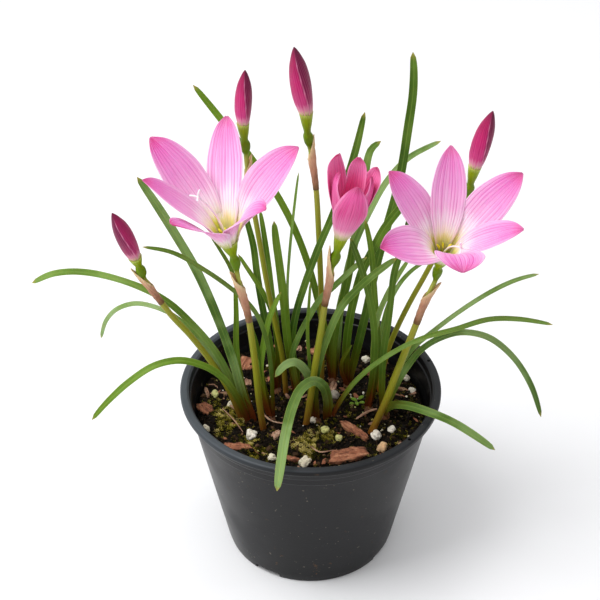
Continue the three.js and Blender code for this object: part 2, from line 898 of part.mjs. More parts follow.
// Six stamens round a style that ends in three lobes, standing on the flower's floor.
function stamensOf(bloom, { mouthAt, axis }) {
  const floor = mouthAt.clone().addScaledVector(axis, 2 * seatGap + floorSize.height);
  const side = axis.clone().cross(new THREE.Vector3(1, 0, 0)).normalize();
  const other = axis.clone().cross(side);
  const round = (turn, r, h) =>
    floor
      .clone()
      .addScaledVector(axis, h)
      .addScaledVector(side, r * Math.cos(turn))
      .addScaledVector(other, r * Math.sin(turn));
  const pieces = [rod([round(0, 0, 0), round(0, 0, 0.9)], [1.5, 1.3], 6)];
  const { filament, anther, antherLength, lobe } = stamenSize;
  const { reach, spread } = bloom.stamens;
  for (let k = 0; k < 6; k++) {
    const turn = (Math.PI * k) / 3;
    const low = round(turn, spread - 0.3, reach - antherLength / 2);
    const middle = round(turn, spread, reach);
    const high = round(turn, spread + 0.3, reach + antherLength / 2);
    pieces.push(rod([round(turn, 1, 0.4), low, middle, high], [filament, filament, anther, 0.3], 3));
  }
  const styleEnd = seenFrom(bloom.style.tip, mouthAt, bloom.style.length, false);
  const bend = floor.clone().addScaledVector(axis, 0.5 * bloom.style.length);
  const curve = new THREE.QuadraticBezierCurve3(round(0, 0, 0.4), bend, styleEnd);
  const styleWay = [0, 1, 2, 3].map((i) => curve.getPoint(i / 3));
  pieces.push(rod(styleWay, styleWay.map(() => stamenSize.style), 3));
  const end = curve.getTangent(1);
  const lean = end.clone().cross(back).normalize();
  for (let k = 0; k < 3; k++) {
    const out = lean.clone().applyAxisAngle(end, (2 * Math.PI * k) / 3);
    const lobeEnd = styleEnd.clone().addScaledVector(end, lobe * 0.6).addScaledVector(out, lobe * 0.8);
    pieces.push(rod([styleEnd.clone().addScaledVector(end, -0.6), lobeEnd], [0.5, 0.4], 3));
  }
  return join(pieces);
}

// Radius of a closed bud at even steps from the mouth of its tube to its tip, as shares of the widest.
const budOutline = [0.66, 0.86, 0.97, 1, 0.95, 0.8, 0.5, 0.1];

// A closed bud: three outer tepals wrap it, so its section has three low lobes that wind round it.
function budOf({ bud, reach }, { mouthAt, mouthRadius, axis }) {
  const base = mouthAt.clone().addScaledVector(axis, seatGap);
  const tipAt = seenAt(bud.tip, mouthAt.y - 0.6 * reach);
  const middle = base.clone().lerp(tipAt, 0.45).addScaledVector(axis, 1.5);
  const curve = new THREE.QuadraticBezierCurve3(base, middle, tipAt);
  const sides = 12;
  let side = axis.clone().cross(new THREE.Vector3(0, 1, 0)).normalize();
  const rings = budOutline.map((widthShare, i) => {
    const share = i / (budOutline.length - 1);
    const forward = i === 0 ? axis : curve.getTangent(share);
    side = side.clone().addScaledVector(forward, -side.dot(forward)).normalize();
    const other = forward.clone().cross(side);
    const centre = curve.getPoint(share);
    return Array.from({ length: sides }, (_, j) => {
      const turn = (2 * Math.PI * j) / sides;
      const lobes = 1 + 0.07 * Math.cos(3 * turn + 2 * share);
      const r = i === 0 ? mouthRadius : bud.radius * widthShare * lobes;
      return centre
        .clone()
        .addScaledVector(side, r * Math.cos(turn))
        .addScaledVector(other, r * Math.sin(turn));
    });
  });
  return skin(rings);
}

// A round body from its profile of radius and height.
function turned(profile, sides) {
  const geometry = new THREE.LatheGeometry(profile.map(([r, z]) => new THREE.Vector2(r, z)), sides);
  geometry.rotateX(Math.PI / 2);
  return solid(geometry);
}

function wallRadius(z) {
  const top = pot.rimRadius - pot.lipWidth + pot.wall - pot.bandStep;
  return pot.baseRadius + ((top - pot.baseRadius) * z) / (pot.height - pot.lipDrop);
}

// The pot: a tapered wall with a stacking band under its lip, and drain notches at its foot.
function potSolid() {
  const { rimRadius, height, baseRadius, wall, lipWidth, lipDrop, lipRound } = pot;
  const { bandDrop, bandStep, sides } = pot;
  const bandFoot = height - bandDrop;
  const lipFoot = height - lipDrop;
  const innerRim = rimRadius - lipWidth;
  const profile = [
    [0, 0],
    [baseRadius - 1, 0],
    [baseRadius, 1],
    [wallRadius(bandFoot), bandFoot],
    [wallRadius(bandFoot) + bandStep, bandFoot + bandStep],
    [innerRim + wall, lipFoot],
    [rimRadius - 0.3, lipFoot],
    [rimRadius, lipFoot + lipRound],
    [rimRadius, height - lipRound],
    [rimRadius - lipRound, height],
    [innerRim + lipRound, height],
    [innerRim, height - lipRound],
    [innerRim - 0.2, lipFoot],
    [wallRadius(bandFoot) + bandStep - wall, bandFoot + bandStep],
    [wallRadius(bandFoot) - wall, bandFoot - 1],
    [baseRadius - wall, wall],
    [0, wall],
  ];
  let shell = turned(profile, sides);
  for (let k = 0; k < drain.count; k++) shell = shell.subtract(notchSolid(k));
  return shell;
}

// One drain notch: a wedge through the foot of the wall and the edge of the floor.
function notchSolid(k) {
  const middle = radians(drain.firstDegrees + (360 / drain.count) * k);
  const half = radians(drain.widthDegrees / 2);
  const corner = (r, turn, z) => new THREE.Vector3(r * Math.sin(turn), -r * Math.cos(turn), z);
  const inner = pot.baseRadius - drain.depth;
  const outer = pot.baseRadius + 4;
  const ring = (z, narrow) => [
    corner(inner, middle - half * narrow, z),
    corner(outer, middle - half * narrow, z),
    corner(outer, middle + half * narrow, z),
    corner(inner, middle + half * narrow, z),
  ];
  return skin([ring(-1, 1), ring(drain.height * 0.7, 1), ring(drain.height, 0.7)]);
}

// Height of the top of the potting mix, which is a little uneven and lies lower along the wall.
function soilTop(x, y) {
  const waves = Math.sin(0.31 * x + 1) * Math.cos(0.27 * y) + 0.6 * Math.sin(0.17 * x - 0.43 * y);
  return soil.level + soil.relief * waves - 0.0006 * (x * x + y * y);
}

function soilSolid(stemShapes, chipShapes) {
  const floor = pot.wall + soil.floorGap;
  const radiusAt = (z) => Math.min(wallRadius(z), wallRadius(z - 1)) - pot.wall - soil.wallGap;
  const rings = [];
  const ring = (r, z) =>
    Array.from({ length: soil.sides }, (_, j) => {
      const turn = (2 * Math.PI * (j + 0.5)) / soil.sides;
      const [x, y] = [r * Math.cos(turn), r * Math.sin(turn)];
      return new THREE.Vector3(x, y, z ?? soilTop(x, y));
    });
  rings.push(ring(0.5, floor));
  rings.push(ring(radiusAt(floor) - 0.6, floor));
  rings.push(ring(radiusAt(soil.level - 4), soil.level - 4));
  for (let i = soil.rings; i > 0; i--) rings.push(ring((radiusAt(soil.level - 4) * i) / soil.rings));
  rings.push(ring(0.5));
  let body = skin(rings);
  for (const [px, py, size] of perlite) {
    const at = onSoil([px, py]);
    const grain = new THREE.IcosahedronGeometry(size / 2, 0);
    grain.rotateX(px).rotateY(py);
    grain.translate(at.x, at.y, soilTop(at.x, at.y) + 0.2 * size);
    body = body.add(solid(grain));
  }
  for (const tuft of tufts) body = body.subtract(tuftHole(tuft));
  for (const shape of stemShapes) body = body.subtract(shape);
  for (const shape of chipShapes) body = body.subtract(shape);
  return body;
}

// The straight hole of a flower stem's foot.
function stemHole({ curve, radius, length }) {
  const foot = curve.getPointAt(0);
  const above = curve.getPointAt((stemSize.foot + 5) / length);
  const way = above.clone().sub(foot).normalize();
  const from = foot.clone().addScaledVector(way, -seatGap);
  return rod([from, above], [radius + stemSize.holeGap, radius + stemSize.holeGap], stemSize.sides);
}

// A bark chip's outline, as shares of its length and width.
const chipOutline = [
  [-0.5, -0.3], [-0.28, -0.5], [0.24, -0.44], [0.5, -0.2], [0.46, 0.34], [0.1, 0.5], [-0.36, 0.42],
];

// An irregular slab of bark with sloping ends that lies on the mix. grow widens it all round.
function chipSolid({ at, size: [length, width, thick], heading }, grow = 0) {
  const middle = onSoil(at);
  const turn = radians(heading);
  const ring = (z, shrink) =>
    chipOutline.map(([u, v]) => {
      const [a, b] = [u * (length * shrink + 2 * grow), v * (width * shrink + 2 * grow)];
      return new THREE.Vector3(
        middle.x + a * Math.cos(turn) - b * Math.sin(turn),
        middle.y + a * Math.sin(turn) + b * Math.cos(turn),
        z,
      );
    });
  const bottom = soilTop(middle.x, middle.y) - 0.9;
  const [low, middling, high] = [bottom - grow, bottom + 0.6 * thick, bottom + thick + grow];
  return skin([ring(low, 0.94), ring(middling, 1), ring(high, 0.86)]);
}

const parts = Object.fromEntries(stems.map((stem) => [stem.name, stemParts(stem)]));
const stemHoles = Object.values(parts).map(stemHole);
const chipBeds = chips.map((chip) => chipSolid(chip, 0.35));

place("pot", potSolid(), colours.pot, 0.45);
place("potting_mix", soilSolid(stemHoles, chipBeds), colours.soil, 0.95);
for (const chip of chips) place("bark_chip_" + chip.name, chipSolid(chip), colours.bark, 0.85);
for (const tuft of tufts) place("bulb_and_leaves_" + tuft.name, tuftOf(tuft), colours.leaf, 0.5);
for (const stem of stems) {
  const made = parts[stem.name];
  const way = made.stations.map(({ share }) => made.curve.getPointAt(share));
  const radii = made.stations.map(({ r }) => r);
  place("flower_stem_" + stem.name, rod(way, radii, stemSize.sides), colours.stem, 0.5);
  place("sheath_" + stem.name, sheathOf(made), colours.sheath, 0.7);
  if (stem.bud) place("bud_" + stem.name, budOf(stem, made), colours.bud, 0.5);
}
for (const bloom of blooms) {
  place("flower_" + bloom.stem, flowerOf(bloom, parts[bloom.stem]), colours.tepal, 0.5);
  place("stamens_" + bloom.stem, stamensOf(bloom, parts[bloom.stem]), colours.stamen, 0.6);
}

export default plant;
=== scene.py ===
import bisect
import math
import random

import bmesh
import bpy
from mathutils import Matrix, Vector, noise


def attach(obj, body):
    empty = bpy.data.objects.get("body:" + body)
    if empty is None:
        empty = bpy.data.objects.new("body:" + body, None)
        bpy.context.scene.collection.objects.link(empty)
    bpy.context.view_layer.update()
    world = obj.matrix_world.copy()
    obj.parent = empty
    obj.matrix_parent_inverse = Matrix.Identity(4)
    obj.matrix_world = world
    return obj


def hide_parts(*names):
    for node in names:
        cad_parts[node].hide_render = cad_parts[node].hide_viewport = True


# A pink rain lily in a black nursery pot. Lengths are millimetres here until a mesh is made of them.
# Stems, leaves and petals are placed by where they show in the 600 pixel front picture.
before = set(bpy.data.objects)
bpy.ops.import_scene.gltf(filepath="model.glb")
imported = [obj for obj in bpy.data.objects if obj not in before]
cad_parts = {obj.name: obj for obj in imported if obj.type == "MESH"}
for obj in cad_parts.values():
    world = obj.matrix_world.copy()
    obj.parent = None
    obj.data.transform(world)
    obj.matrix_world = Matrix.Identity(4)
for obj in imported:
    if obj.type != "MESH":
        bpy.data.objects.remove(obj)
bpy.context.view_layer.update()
print("frame loaded:", len(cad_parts), "nodes")

mm = 0.001
soilLevel = 82
fullTurn = 2 * math.pi
rightWay, backWay, upWay = Vector((1, 0, 0)), Vector((0, 1, 0)), Vector((0, 0, 1))

# the eye of the front picture, and where its lines meet the plant
view = {"centre": 300, "focal": 1464, "distance": 700, "elevation": 35.8, "aim": (-5.3, 0, 147.3)}
tilt = math.radians(view["elevation"])
towardEye = upWay * math.sin(tilt) - backWay * math.cos(tilt)
pictureUp = upWay * math.cos(tilt) + backWay * math.sin(tilt)
eye = Vector(view["aim"]) + towardEye * view["distance"]


def lineOfSight(place):
    up = pictureUp * (view["centre"] - place[1])
    return rightWay * (place[0] - view["centre"]) + up - towardEye * view["focal"]


def seenAt(place, y):
    line = lineOfSight(place)
    return eye + line * ((y - eye.y) / line.y)


def onLevel(place, z=soilLevel):
    line = lineOfSight(place)
    return eye + line * ((z - eye.z) / line.z)


def seenFrom(place, centre, length, far=False):
    # the place on the line of sight that lies this length from a centre, on its near or far side
    line = lineOfSight(place).normalized()
    nearest = eye + line * (centre - eye).dot(line)
    half = math.sqrt(max(length**2 - (nearest - centre).length_squared, 0))
    return nearest + line * (half if far else -half)


# numbers, curves and ways
def clamp(value, low=0, high=1):
    return min(max(value, low), high)


def lerp(a, b, share):
    return a + (b - a) * share


def ease(share):
    share = clamp(share)
    return share * share * (3 - 2 * share)


def shares(count):
    return [i / count for i in range(count + 1)]


def turnsOf(sides, shift=0):
    return [fullTurn * (j + shift) / sides for j in range(sides)]


def armAt(turn, side=rightWay, other=backWay):
    return side * math.cos(turn) + other * math.sin(turn)


def hermite(a, leaveA, b, reachB, s):
    start = a * (2 * s**3 - 3 * s**2 + 1) + leaveA * (s**3 - 2 * s**2 + s)
    return start + b * (3 * s**2 - 2 * s**3) + reachB * (s**3 - s**2)


def profileAt(stops, t):
    # smooth curve through the stops that never swings past them
    if t <= stops[0][0]:
        return stops[0][1]
    if t >= stops[-1][0]:
        return stops[-1][1]
    steep = [(b[1] - a[1]) / (b[0] - a[0]) for a, b in zip(stops, stops[1:])]
    k = next(i for i in range(len(steep)) if t <= stops[i + 1][0])

    def slope(i):
        if i == 0 or i == len(steep):
            return steep[min(i, len(steep) - 1)]
        a, b = steep[i - 1], steep[i]
        return 2 * a * b / (a + b) if a * b > 0 else 0

    width = stops[k + 1][0] - stops[k][0]
    s = (t - stops[k][0]) / width
    return hermite(stops[k][1], slope(k) * width, stops[k + 1][1], slope(k + 1) * width, s)


def smoothWay(points, perSpan=16):
    # centripetal curve through the points, as a fine chain with its running lengths
    places = [points[0] * 2 - points[1], *points, points[-1] * 2 - points[-2]]
    chain = [points[0].copy()]
    for i in range(1, len(places) - 2):
        p0, p1, p2, p3 = places[i - 1 : i + 3]
        d0, d1, d2 = [math.sqrt((b - a).length) for a, b in ((p0, p1), (p1, p2), (p2, p3))]
        leave = ((p1 - p0) / d0 - (p2 - p0) / (d0 + d1) + (p2 - p1) / d1) * d1
        reach = ((p2 - p1) / d1 - (p3 - p1) / (d1 + d2) + (p3 - p2) / d2) * d1
        chain += [hermite(p1, leave, p2, reach, s) for s in shares(perSpan)[1:]]
    runs = [0]
    for a, b in zip(chain, chain[1:]):
        runs.append(runs[-1] + (b - a).length)
    return {"points": chain, "runs": runs, "length": runs[-1]}


def placeOn(way, run):
    run = clamp(run, 0, way["length"])
    k = clamp(bisect.bisect_right(way["runs"], run), 1, len(way["runs"]) - 1)
    share = (run - way["runs"][k - 1]) / (way["runs"][k] - way["runs"][k - 1])
    return way["points"][k - 1].lerp(way["points"][k], share)


def headingOn(way, run, reach=1.5):
    return (placeOn(way, run + reach) - placeOn(way, run - reach)).normalized()


def nearestRun(way, place):
    nearest = min(range(len(way["points"])), key=lambda k: (way["points"][k] - place).length)
    return way["runs"][nearest]


def bezier(points, t):
    while len(points) > 1:
        points = [a.lerp(b, t) for a, b in zip(points, points[1:])]
    return points[0]


def leaningPath(via, lean, bow=1.4):
    # through the places in the picture, leaning away from the front towards its end
    root = onLevel(via[0])
    runs = [0]
    for a, b in zip(via, via[1:]):
        runs.append(runs[-1] + math.dist(a, b))
    points = [seenAt(at, root.y + lean * (run / runs[-1]) ** bow) for at, run in zip(via, runs)]
    return [root, *points[1:]]


def roughOf(place, size, seed=0):
    # smooth noise from -1 to 1 with features of a given size
    return noise.noise(place / size + Vector((7.3, 3.1, 5.7)) * seed)


# nodes: each call adds to the tree that was started last
now = {"tree": None, "material": None}


def feed(value, socket):
    if isinstance(value, bpy.types.NodeSocket):
        now["tree"].links.new(value, socket)
    else:
        socket.default_value = value


def put(kind, inputs=None, outlet=0, **settings):
    # adds a node, sets it, joins its inputs and gives one of its outputs
    node = now["tree"].nodes.new(kind)
    for key, value in settings.items():
        setattr(node, key, value)
    for key, value in (inputs or {}).items():
        feed(value, node.inputs[key])
    return node.outputs[outlet]


def maths(operation, a, b=0.0, c=0.0):
    return put("ShaderNodeMath", {0: a, 1: b, 2: c}, operation=operation)


def times(a, b):
    return maths("MULTIPLY", a, b)


def timesPlus(a, b, c):
    return maths("MULTIPLY_ADD", a, b, c)


def vectors(operation, inputs, outlet=0):
    return put("ShaderNodeVectorMath", inputs, outlet, operation=operation)


def partsOf(vector):
    return put("ShaderNodeSeparateXYZ", {0: vector}).node.outputs


def startTree(name, kind, given, made):
    now["tree"] = bpy.data.node_groups.new(name, kind)
    for way, sockets in (("INPUT", given), ("OUTPUT", made)):
        for label, form in sockets.items():
            now["tree"].interface.new_socket(label, in_out=way, socket_type="NodeSocket" + form)
    entry = now["tree"].nodes.new("NodeGroupInput")
    leave = now["tree"].nodes.new("NodeGroupOutput")
    return entry.outputs, leave.inputs


# meshes: a shape collects points, faces and a value for each point, and becomes one piece
def newShape(*names):
    return {"points": [], "faces": [], "values": {name: [] for name in names}}


def addRings(shape, rings, closed=True, caps=True, **values):
    # a skin over rows of points, each row with the same count; values give one number for each point
    first, count = len(shape["points"]), len(rings[0])
    for ring in rings:
        shape["points"] += ring
    for i in range(len(rings) - 1):
        for j in range(count if closed else count - 1):
            low, high, k = first + i * count, first + (i + 1) * count, (j + 1) % count
            shape["faces"].append((low + j, low + k, high + k, high + j))
    if caps:
        last = first + (len(rings) - 1) * count
        shape["faces"] += [tuple(range(first + count - 1, first - 1, -1)), tuple(range(last, last + count))]
    for name, column in shape["values"].items():
        column += values[name]


def withValues(mesh, values):
    for key, column in values.items():
        if isinstance(column[0], Vector):
            flat = [number for vector in column for number in vector]
            mesh.attributes.new(key, "FLOAT_VECTOR", "POINT").data.foreach_set("vector", flat)
        else:
            mesh.attributes.new(key, "FLOAT", "POINT").data.foreach_set("value", column)
    return mesh


def placed(name, mesh, *materials):
    for material in materials:
        mesh.materials.append(material)
    piece = bpy.data.objects.new(name, mesh)
    bpy.context.scene.collection.objects.link(piece)
    return piece


def pieceOf(name, shape, *materials):
    mesh = bpy.data.meshes.new(name)
    mesh.from_pydata([point * mm for point in shape["points"]], [], shape["faces"])
    mesh.shade_smooth()
    return placed(name, withValues(mesh, shape["values"]), *materials)


def keepMade(piece, modifier):
    # what the modifier makes becomes the piece's own plain mesh
    seen = piece.evaluated_get(bpy.context.evaluated_depsgraph_get())
    made = bpy.data.meshes.new_from_object(seen)
    piece.modifiers.remove(modifier)
    piece.data = made
    made.shade_smooth()
    return piece


def grown(name, ways, tree, loose=False, **inputs):
    # runs a geometry tree on open chains of edges, or on loose points, with the ways' other columns as values
    points, edges, values = [], [], {}
    for way in ways:
        first = len(points)
        points += [point * mm for point in way["points"]]
        edges += [] if loose else [(i, i + 1) for i in range(first, len(points) - 1)]
        for key, column in way.items():
            if key != "points":
                values.setdefault(key, []).extend(column)
    mesh = bpy.data.meshes.new(name)
    mesh.from_pydata(points, edges, [])
    piece = placed(name, withValues(mesh, values))
    modifier = piece.modifiers.new("made", "NODES")
    modifier.node_group = tree
    for item in tree.interface.items_tree:
        if item.in_out == "INPUT" and item.name in inputs:
            modifier[item.identifier] = inputs[item.name]
    return keepMade(piece, modifier)


def joined(name, pieces):
    whole = pieces[0]
    with bpy.context.temp_override(
        active_object=whole, object=whole, selected_objects=pieces, selected_editable_objects=pieces
    ):
        bpy.ops.object.join()
    whole.name = name
    whole.data.name = name
    return whole


def pointOut(piece, weld=0):
    # turns every face outwards on a piece whose parts are closed, once its doubled points are one
    work = bmesh.new()
    work.from_mesh(piece.data)
    if weld:
        bmesh.ops.remove_doubles(work, verts=work.verts, dist=weld * mm)
    bmesh.ops.recalc_face_normals(work, faces=work.faces)
    work.to_mesh(piece.data)
    work.free()
    return piece


def walled(piece, thickness, **settings):
    # gives a sheet its thickness and rounds it
    wall = piece.modifiers.new("wall", "SOLIDIFY")
    wall.thickness = thickness * mm
    for key, value in settings.items():
        setattr(wall, key, value)
    fine = piece.modifiers.new("fine", "SUBSURF")
    fine.levels = fine.render_levels = 1
    return piece


def settle(piece, slot, *nodes):
    # the whole plant is one body; the nodes named are those that the piece stands for
    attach(piece, "root")
    if nodes:
        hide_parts(*nodes)


# finishes: colours are given as a picker shows them
def srgb(*colour):
    linear = [share / 12.92 if share <= 0.04045 else ((share + 0.055) / 1.055) ** 2.4
              for share in (value / 255 for value in colour)]
    return (*linear, 1)


def stretch(value, low, high, most=1.0, least=0.0):
    inputs = {"Value": value, "From Min": low, "From Max": high, "To Min": least, "To Max": most}
    return put("ShaderNodeMapRange", inputs, interpolation_type="SMOOTHSTEP")


def mixed(share, a, b):
    return put("ShaderNodeMix", {0: share, 6: a, 7: b}, 2, data_type="RGBA")


def colourRamp(value, stops, spread="EASE"):
    socket = put("ShaderNodeValToRGB", {0: value})
    ramp = socket.node.color_ramp
    ramp.interpolation = spread
    while len(ramp.elements) < len(stops):
        ramp.elements.new(0.5)
    for element, (place, colour) in zip(ramp.elements, stops):
        element.position = place
        element.color = srgb(*colour)
    return socket


def placeOf():
    return put("ShaderNodeTexCoord", {}, 3)


def vectorOf(x, y, z=0.0):
    return put("ShaderNodeCombineXYZ", {0: x, 1: y, 2: z})


def cloudy(place, scale, detail=2.0, rough=0.5):
    inputs = {"Vector": place, "Scale": scale, "Detail": detail, "Roughness": rough}
    return put("ShaderNodeTexNoise", inputs)


def use(group, inputs):
    node = now["tree"].nodes.new("ShaderNodeGroup")
    node.node_tree = group
    for name, value in inputs.items():
        feed(value, node.inputs[name])
    return node.outputs


def makeLongLines():
    # veins that run along a leaf or petal, gently wavering, and broader soft streaks beside them
    names = ("Across", "Along", "Count", "Waver", "Sharpness", "Seed")
    made = {"Lines": "Float", "Streaks": "Float"}
    given, made = startTree("longLines", "ShaderNodeTree", {name: "Float" for name in names}, made)
    seed = times(given["Seed"], 23.0)
    drift = cloudy(vectorOf(given["Across"], given["Along"], seed), 1.7, 1.0)
    drift = times(maths("SUBTRACT", drift, 0.5), given["Waver"])
    counted = times(maths("ADD", given["Across"], drift), given["Count"])
    lifted = timesPlus(maths("COSINE", times(counted, math.pi)), 0.5, 0.5)
    feed(maths("POWER", lifted, given["Sharpness"]), made["Lines"])
    feed(stretch(cloudy(vectorOf(counted, given["Along"], seed), 1.1, 2.0), 0.3, 0.7), made["Streaks"])
    return now["tree"]


def makeMottle():
    # cloudy patches of a given size in millimetres, and fine specks among them
    made = {"Patches": "Float", "Specks": "Float"}
    given, made = startTree("mottle", "ShaderNodeTree", {"Place": "Vector", "Size": "Float"}, made)
    scale = maths("DIVIDE", 1000.0, given["Size"])
    feed(stretch(cloudy(given["Place"], scale, 3.0), 0.32, 0.68), made["Patches"])
    feed(stretch(cloudy(given["Place"], times(scale, 7.0), 2.0), 0.58, 0.72), made["Specks"])
    return now["tree"]


longLines = makeLongLines()
mottle = makeMottle()


def veinsOf(across, along, seed, veins):
    inputs = {"Across": across, "Along": along, "Seed": seed}
    return use(longLines, {**inputs, **{name.capitalize(): value for name, value in veins.items()}})


def addFibres(read, along, fibres):
    # streaks round a stalk, without a seam
    wide = [times(read[name], fibres["wide"]) for name in ("ringX", "ringY")]
    read["streaks"] = cloudy(vectorOf(*wide, times(along, fibres["run"])), fibres["fine"], fibres["detail"])
    return read["streaks"]


def raggedBy(streaks, amount, along):
    return timesPlus(maths("SUBTRACT", streaks, 0.5), amount, along)


def startFinish(name, look, *attributes):
    # a new material, and all that its colours read: the attributes named, and its patches and specks
    material = now["material"] = bpy.data.materials.new(name)
    material.use_nodes = True
    now["tree"] = material.node_tree
    for key, value in look["shader"].items():
        material.node_tree.nodes["Principled BSDF"].inputs[key].default_value = value
    read = {label: put("ShaderNodeAttribute", {}, 2, attribute_name=label) for label in attributes}
    for size, label in (("patchSize", "Patches"), ("speckSize", "Specks")):
        if size in look:
            read[label.lower()] = use(mottle, {"Place": placeOf(), "Size": look[size]})[label]
    return read


def shownBy(read, coat):
    # what is read, each over its range or times its amount, all multiplied
    shown = [stretch(read[name], *amount) if isinstance(amount, tuple) else times(read[name], amount)
             for name, amount in coat.items()]
    whole = shown[0]
    for share in shown[1:]:
        whole = times(whole, share)
    return whole


def painted(look, read, base, height=None, rough=None):
    # the ground colours, the coats over them, the roughness and the bump
    shader = now["tree"].nodes["Principled BSDF"].inputs
    ground = base
    if "ramp" in look:
        ground = colourRamp(base, look["ramp"], look.get("spread", "EASE"))
    elif "grounds" in look:
        ground = mixed(base, *[srgb(*colour) for colour in look["grounds"]])
    for colour, coat in look.get("coats", []):
        ground = mixed(shownBy(read, coat), ground, srgb(*colour))
    feed(ground, shader["Base Color"])
    if rough:
        feed(rough, shader["Roughness"])
    if height:
        distance, strength = look["bump"]
        inputs = {"Height": height, "Distance": distance * mm, "Strength": strength}
        feed(put("ShaderNodeBump", inputs), shader["Normal"])
    return now["material"]


softTissue = {"Subsurface Weight": 0.12, "Subsurface Scale": 0.001, "Specular IOR Level": 0.14}
thinTissue = {**softTissue, "Subsurface Weight": 0.35, "Subsurface Scale": 0.002}
thinTissue["Subsurface Radius"] = (1, 0.6, 0.7)

# A look holds the shader's own values, its ground colours or ramp, the coats over them, and the bump's
# millimetres and strength. A coat is a colour and what it is seen by: for each value read on the piece an
# amount, or the two ends of the range it comes in over, with its most and its least.
leafLook = {
    "shader": {"Roughness": 0.42, **softTissue},
    "veins": {"count": 7, "waver": 0.12, "sharpness": 1.6},
    "veinRun": 0.02, "patchSize": 26.0, "byTone": 0.55, "byPatches": 0.35, "ragged": 8.0, "streakHeight": 0.6,
    "grounds": [(38, 78, 0), (123, 158, 30)],
    "coats": [
        ((118, 148, 62), {"topSide": (0.15, -0.15, 0.6)}),
        # painted sheen: a pale grey-green on the upper face of some leaves, in patches, standing in for the
        # light they reflect
        ((156, 182, 124), {"paintedSheen": 1.0, "topSide": (-0.1, 0.2), "patches": (0.2, 0.9, 1.5, 0.35)}),
        ((158, 188, 84), {"lines": 0.16}),
        ((38, 78, 0), {"streaks": 0.3}),
        ((158, 188, 84), {"aside": (0.22, 0.0, 0.22)}),
        ((158, 188, 84), {"aside": (0.86, 0.99, 0.45)}),
        ((98, 98, 8), {"height": (26.0, 2.0)}),
        ((98, 44, 12), {"height": (9.0, -6.0)}),
        ((160, 150, 70), {"along": (0.975, 1.0, 0.8)}),
    ],
    "rough": {"patches": (0.0, 1.0, 0.52, 0.36)},
    "bump": (0.12, 0.7),
}


def makeLeafGreen(look=leafLook):
    read = startFinish("leafGreen", look, "across", "along", "rise", "tone", "topSide", "paintedSheen")
    across, rise, tone = read["across"], read["rise"], read["tone"]
    lines, streaks = veinsOf(across, times(rise, look["veinRun"]), tone, look["veins"])
    ragged = timesPlus(streaks, look["ragged"], times(tone, look["ragged"]))
    read.update(lines=lines, streaks=streaks, aside=maths("ABSOLUTE", across))
    read["height"] = maths("SUBTRACT", rise, ragged)
    share = timesPlus(tone, look["byTone"], times(read["patches"], look["byPatches"]))
    height = maths("ADD", lines, times(streaks, look["streakHeight"]))
    return painted(look, read, share, height, shownBy(read, look["rough"]))


bulbLook = {
    "shader": {"Roughness": 0.6},
    "fibres": {"wide": 7.0, "run": 0.05, "fine": 1.6, "detail": 3.0},
    "ramp": [(0.3, (52, 28, 14)), (0.5, (104, 62, 32)), (0.72, (150, 104, 62))],
    "bump": (0.4, 1.0),
}
stemLook = {
    "shader": {"Roughness": 0.38, **softTissue},
    "fibres": {"wide": 4.0, "run": 2.0, "fine": 1.4, "detail": 2.0},
    "patchSize": 9.0, "zones": 4.0, "ragged": 18.0,
    "spread": "LINEAR",
    "ramp": [
        (0.0, (138, 136, 32)), (0.2, (142, 146, 38)), (0.25, (154, 154, 58)), (0.3, (178, 180, 84)),
        (0.48, (176, 182, 84)), (0.53, (88, 120, 0)), (0.61, (98, 132, 0)), (0.66, (122, 148, 0)),
        (0.72, (144, 166, 8)), (0.745, (176, 192, 84)), (0.77, (190, 204, 84)), (0.82, (170, 190, 40)),
        (1.0, (140, 160, 20)),
    ],
    "coats": [
        ((96, 104, 20), {"streaks": (0.45, 0.75, 0.5)}),
        ((150, 118, 50), {"patches": 0.12}),
        ((134, 98, 34), {"height": (40.0, 10.0, 0.85)}),
        ((112, 48, 18), {"height": (19.0, 4.0, 0.85)}),
    ],
    "bump": (0.15, 0.6),
}
paperLook = {
    "shader": {"Roughness": 0.62, **softTissue},
    "fibres": {"wide": 6.0, "run": 3.0, "fine": 1.5, "detail": 3.0},
    "patchSize": 7.0, "ragged": 0.25,
    "ramp": [
        (0.0, (84, 66, 30)), (0.08, (112, 78, 46)), (0.25, (152, 104, 80)), (0.55, (184, 132, 108)),
        (0.8, (206, 160, 128)), (0.95, (226, 196, 150)), (1.0, (232, 208, 162)),
    ],
    "coats": [((118, 76, 54), {"streaks": (0.52, 0.7, 0.55)}), ((222, 178, 140), {"patches": 0.25})],
    "bump": (0.35, 0.9),
}


def makeBulbSkin(look=bulbLook):
    read = startFinish("bulbSkin", look, "ringX", "ringY", "rise")
    streaks = addFibres(read, read["rise"], look["fibres"])
    return painted(look, read, streaks, streaks)


def makeStemGreen(look=stemLook):
    # the ramp runs over the zones: stem, pedicel, ovary and tube
    read = startFinish("stemGreen", look, "ringX", "ringY", "rise", "zone")
    streaks = addFibres(read, read["zone"], look["fibres"])
    read["height"] = timesPlus(streaks, look["ragged"], read["rise"])
    return painted(look, read, maths("DIVIDE", read["zone"], look["zones"]), streaks)


def makeSheathPaper(look=paperLook):
    read = startFinish("sheathPaper", look, "ringX", "ringY", "along")
    streaks = addFibres(read, read["along"], look["fibres"])
    return painted(look, read, raggedBy(streaks, look["ragged"], read["along"]), streaks)


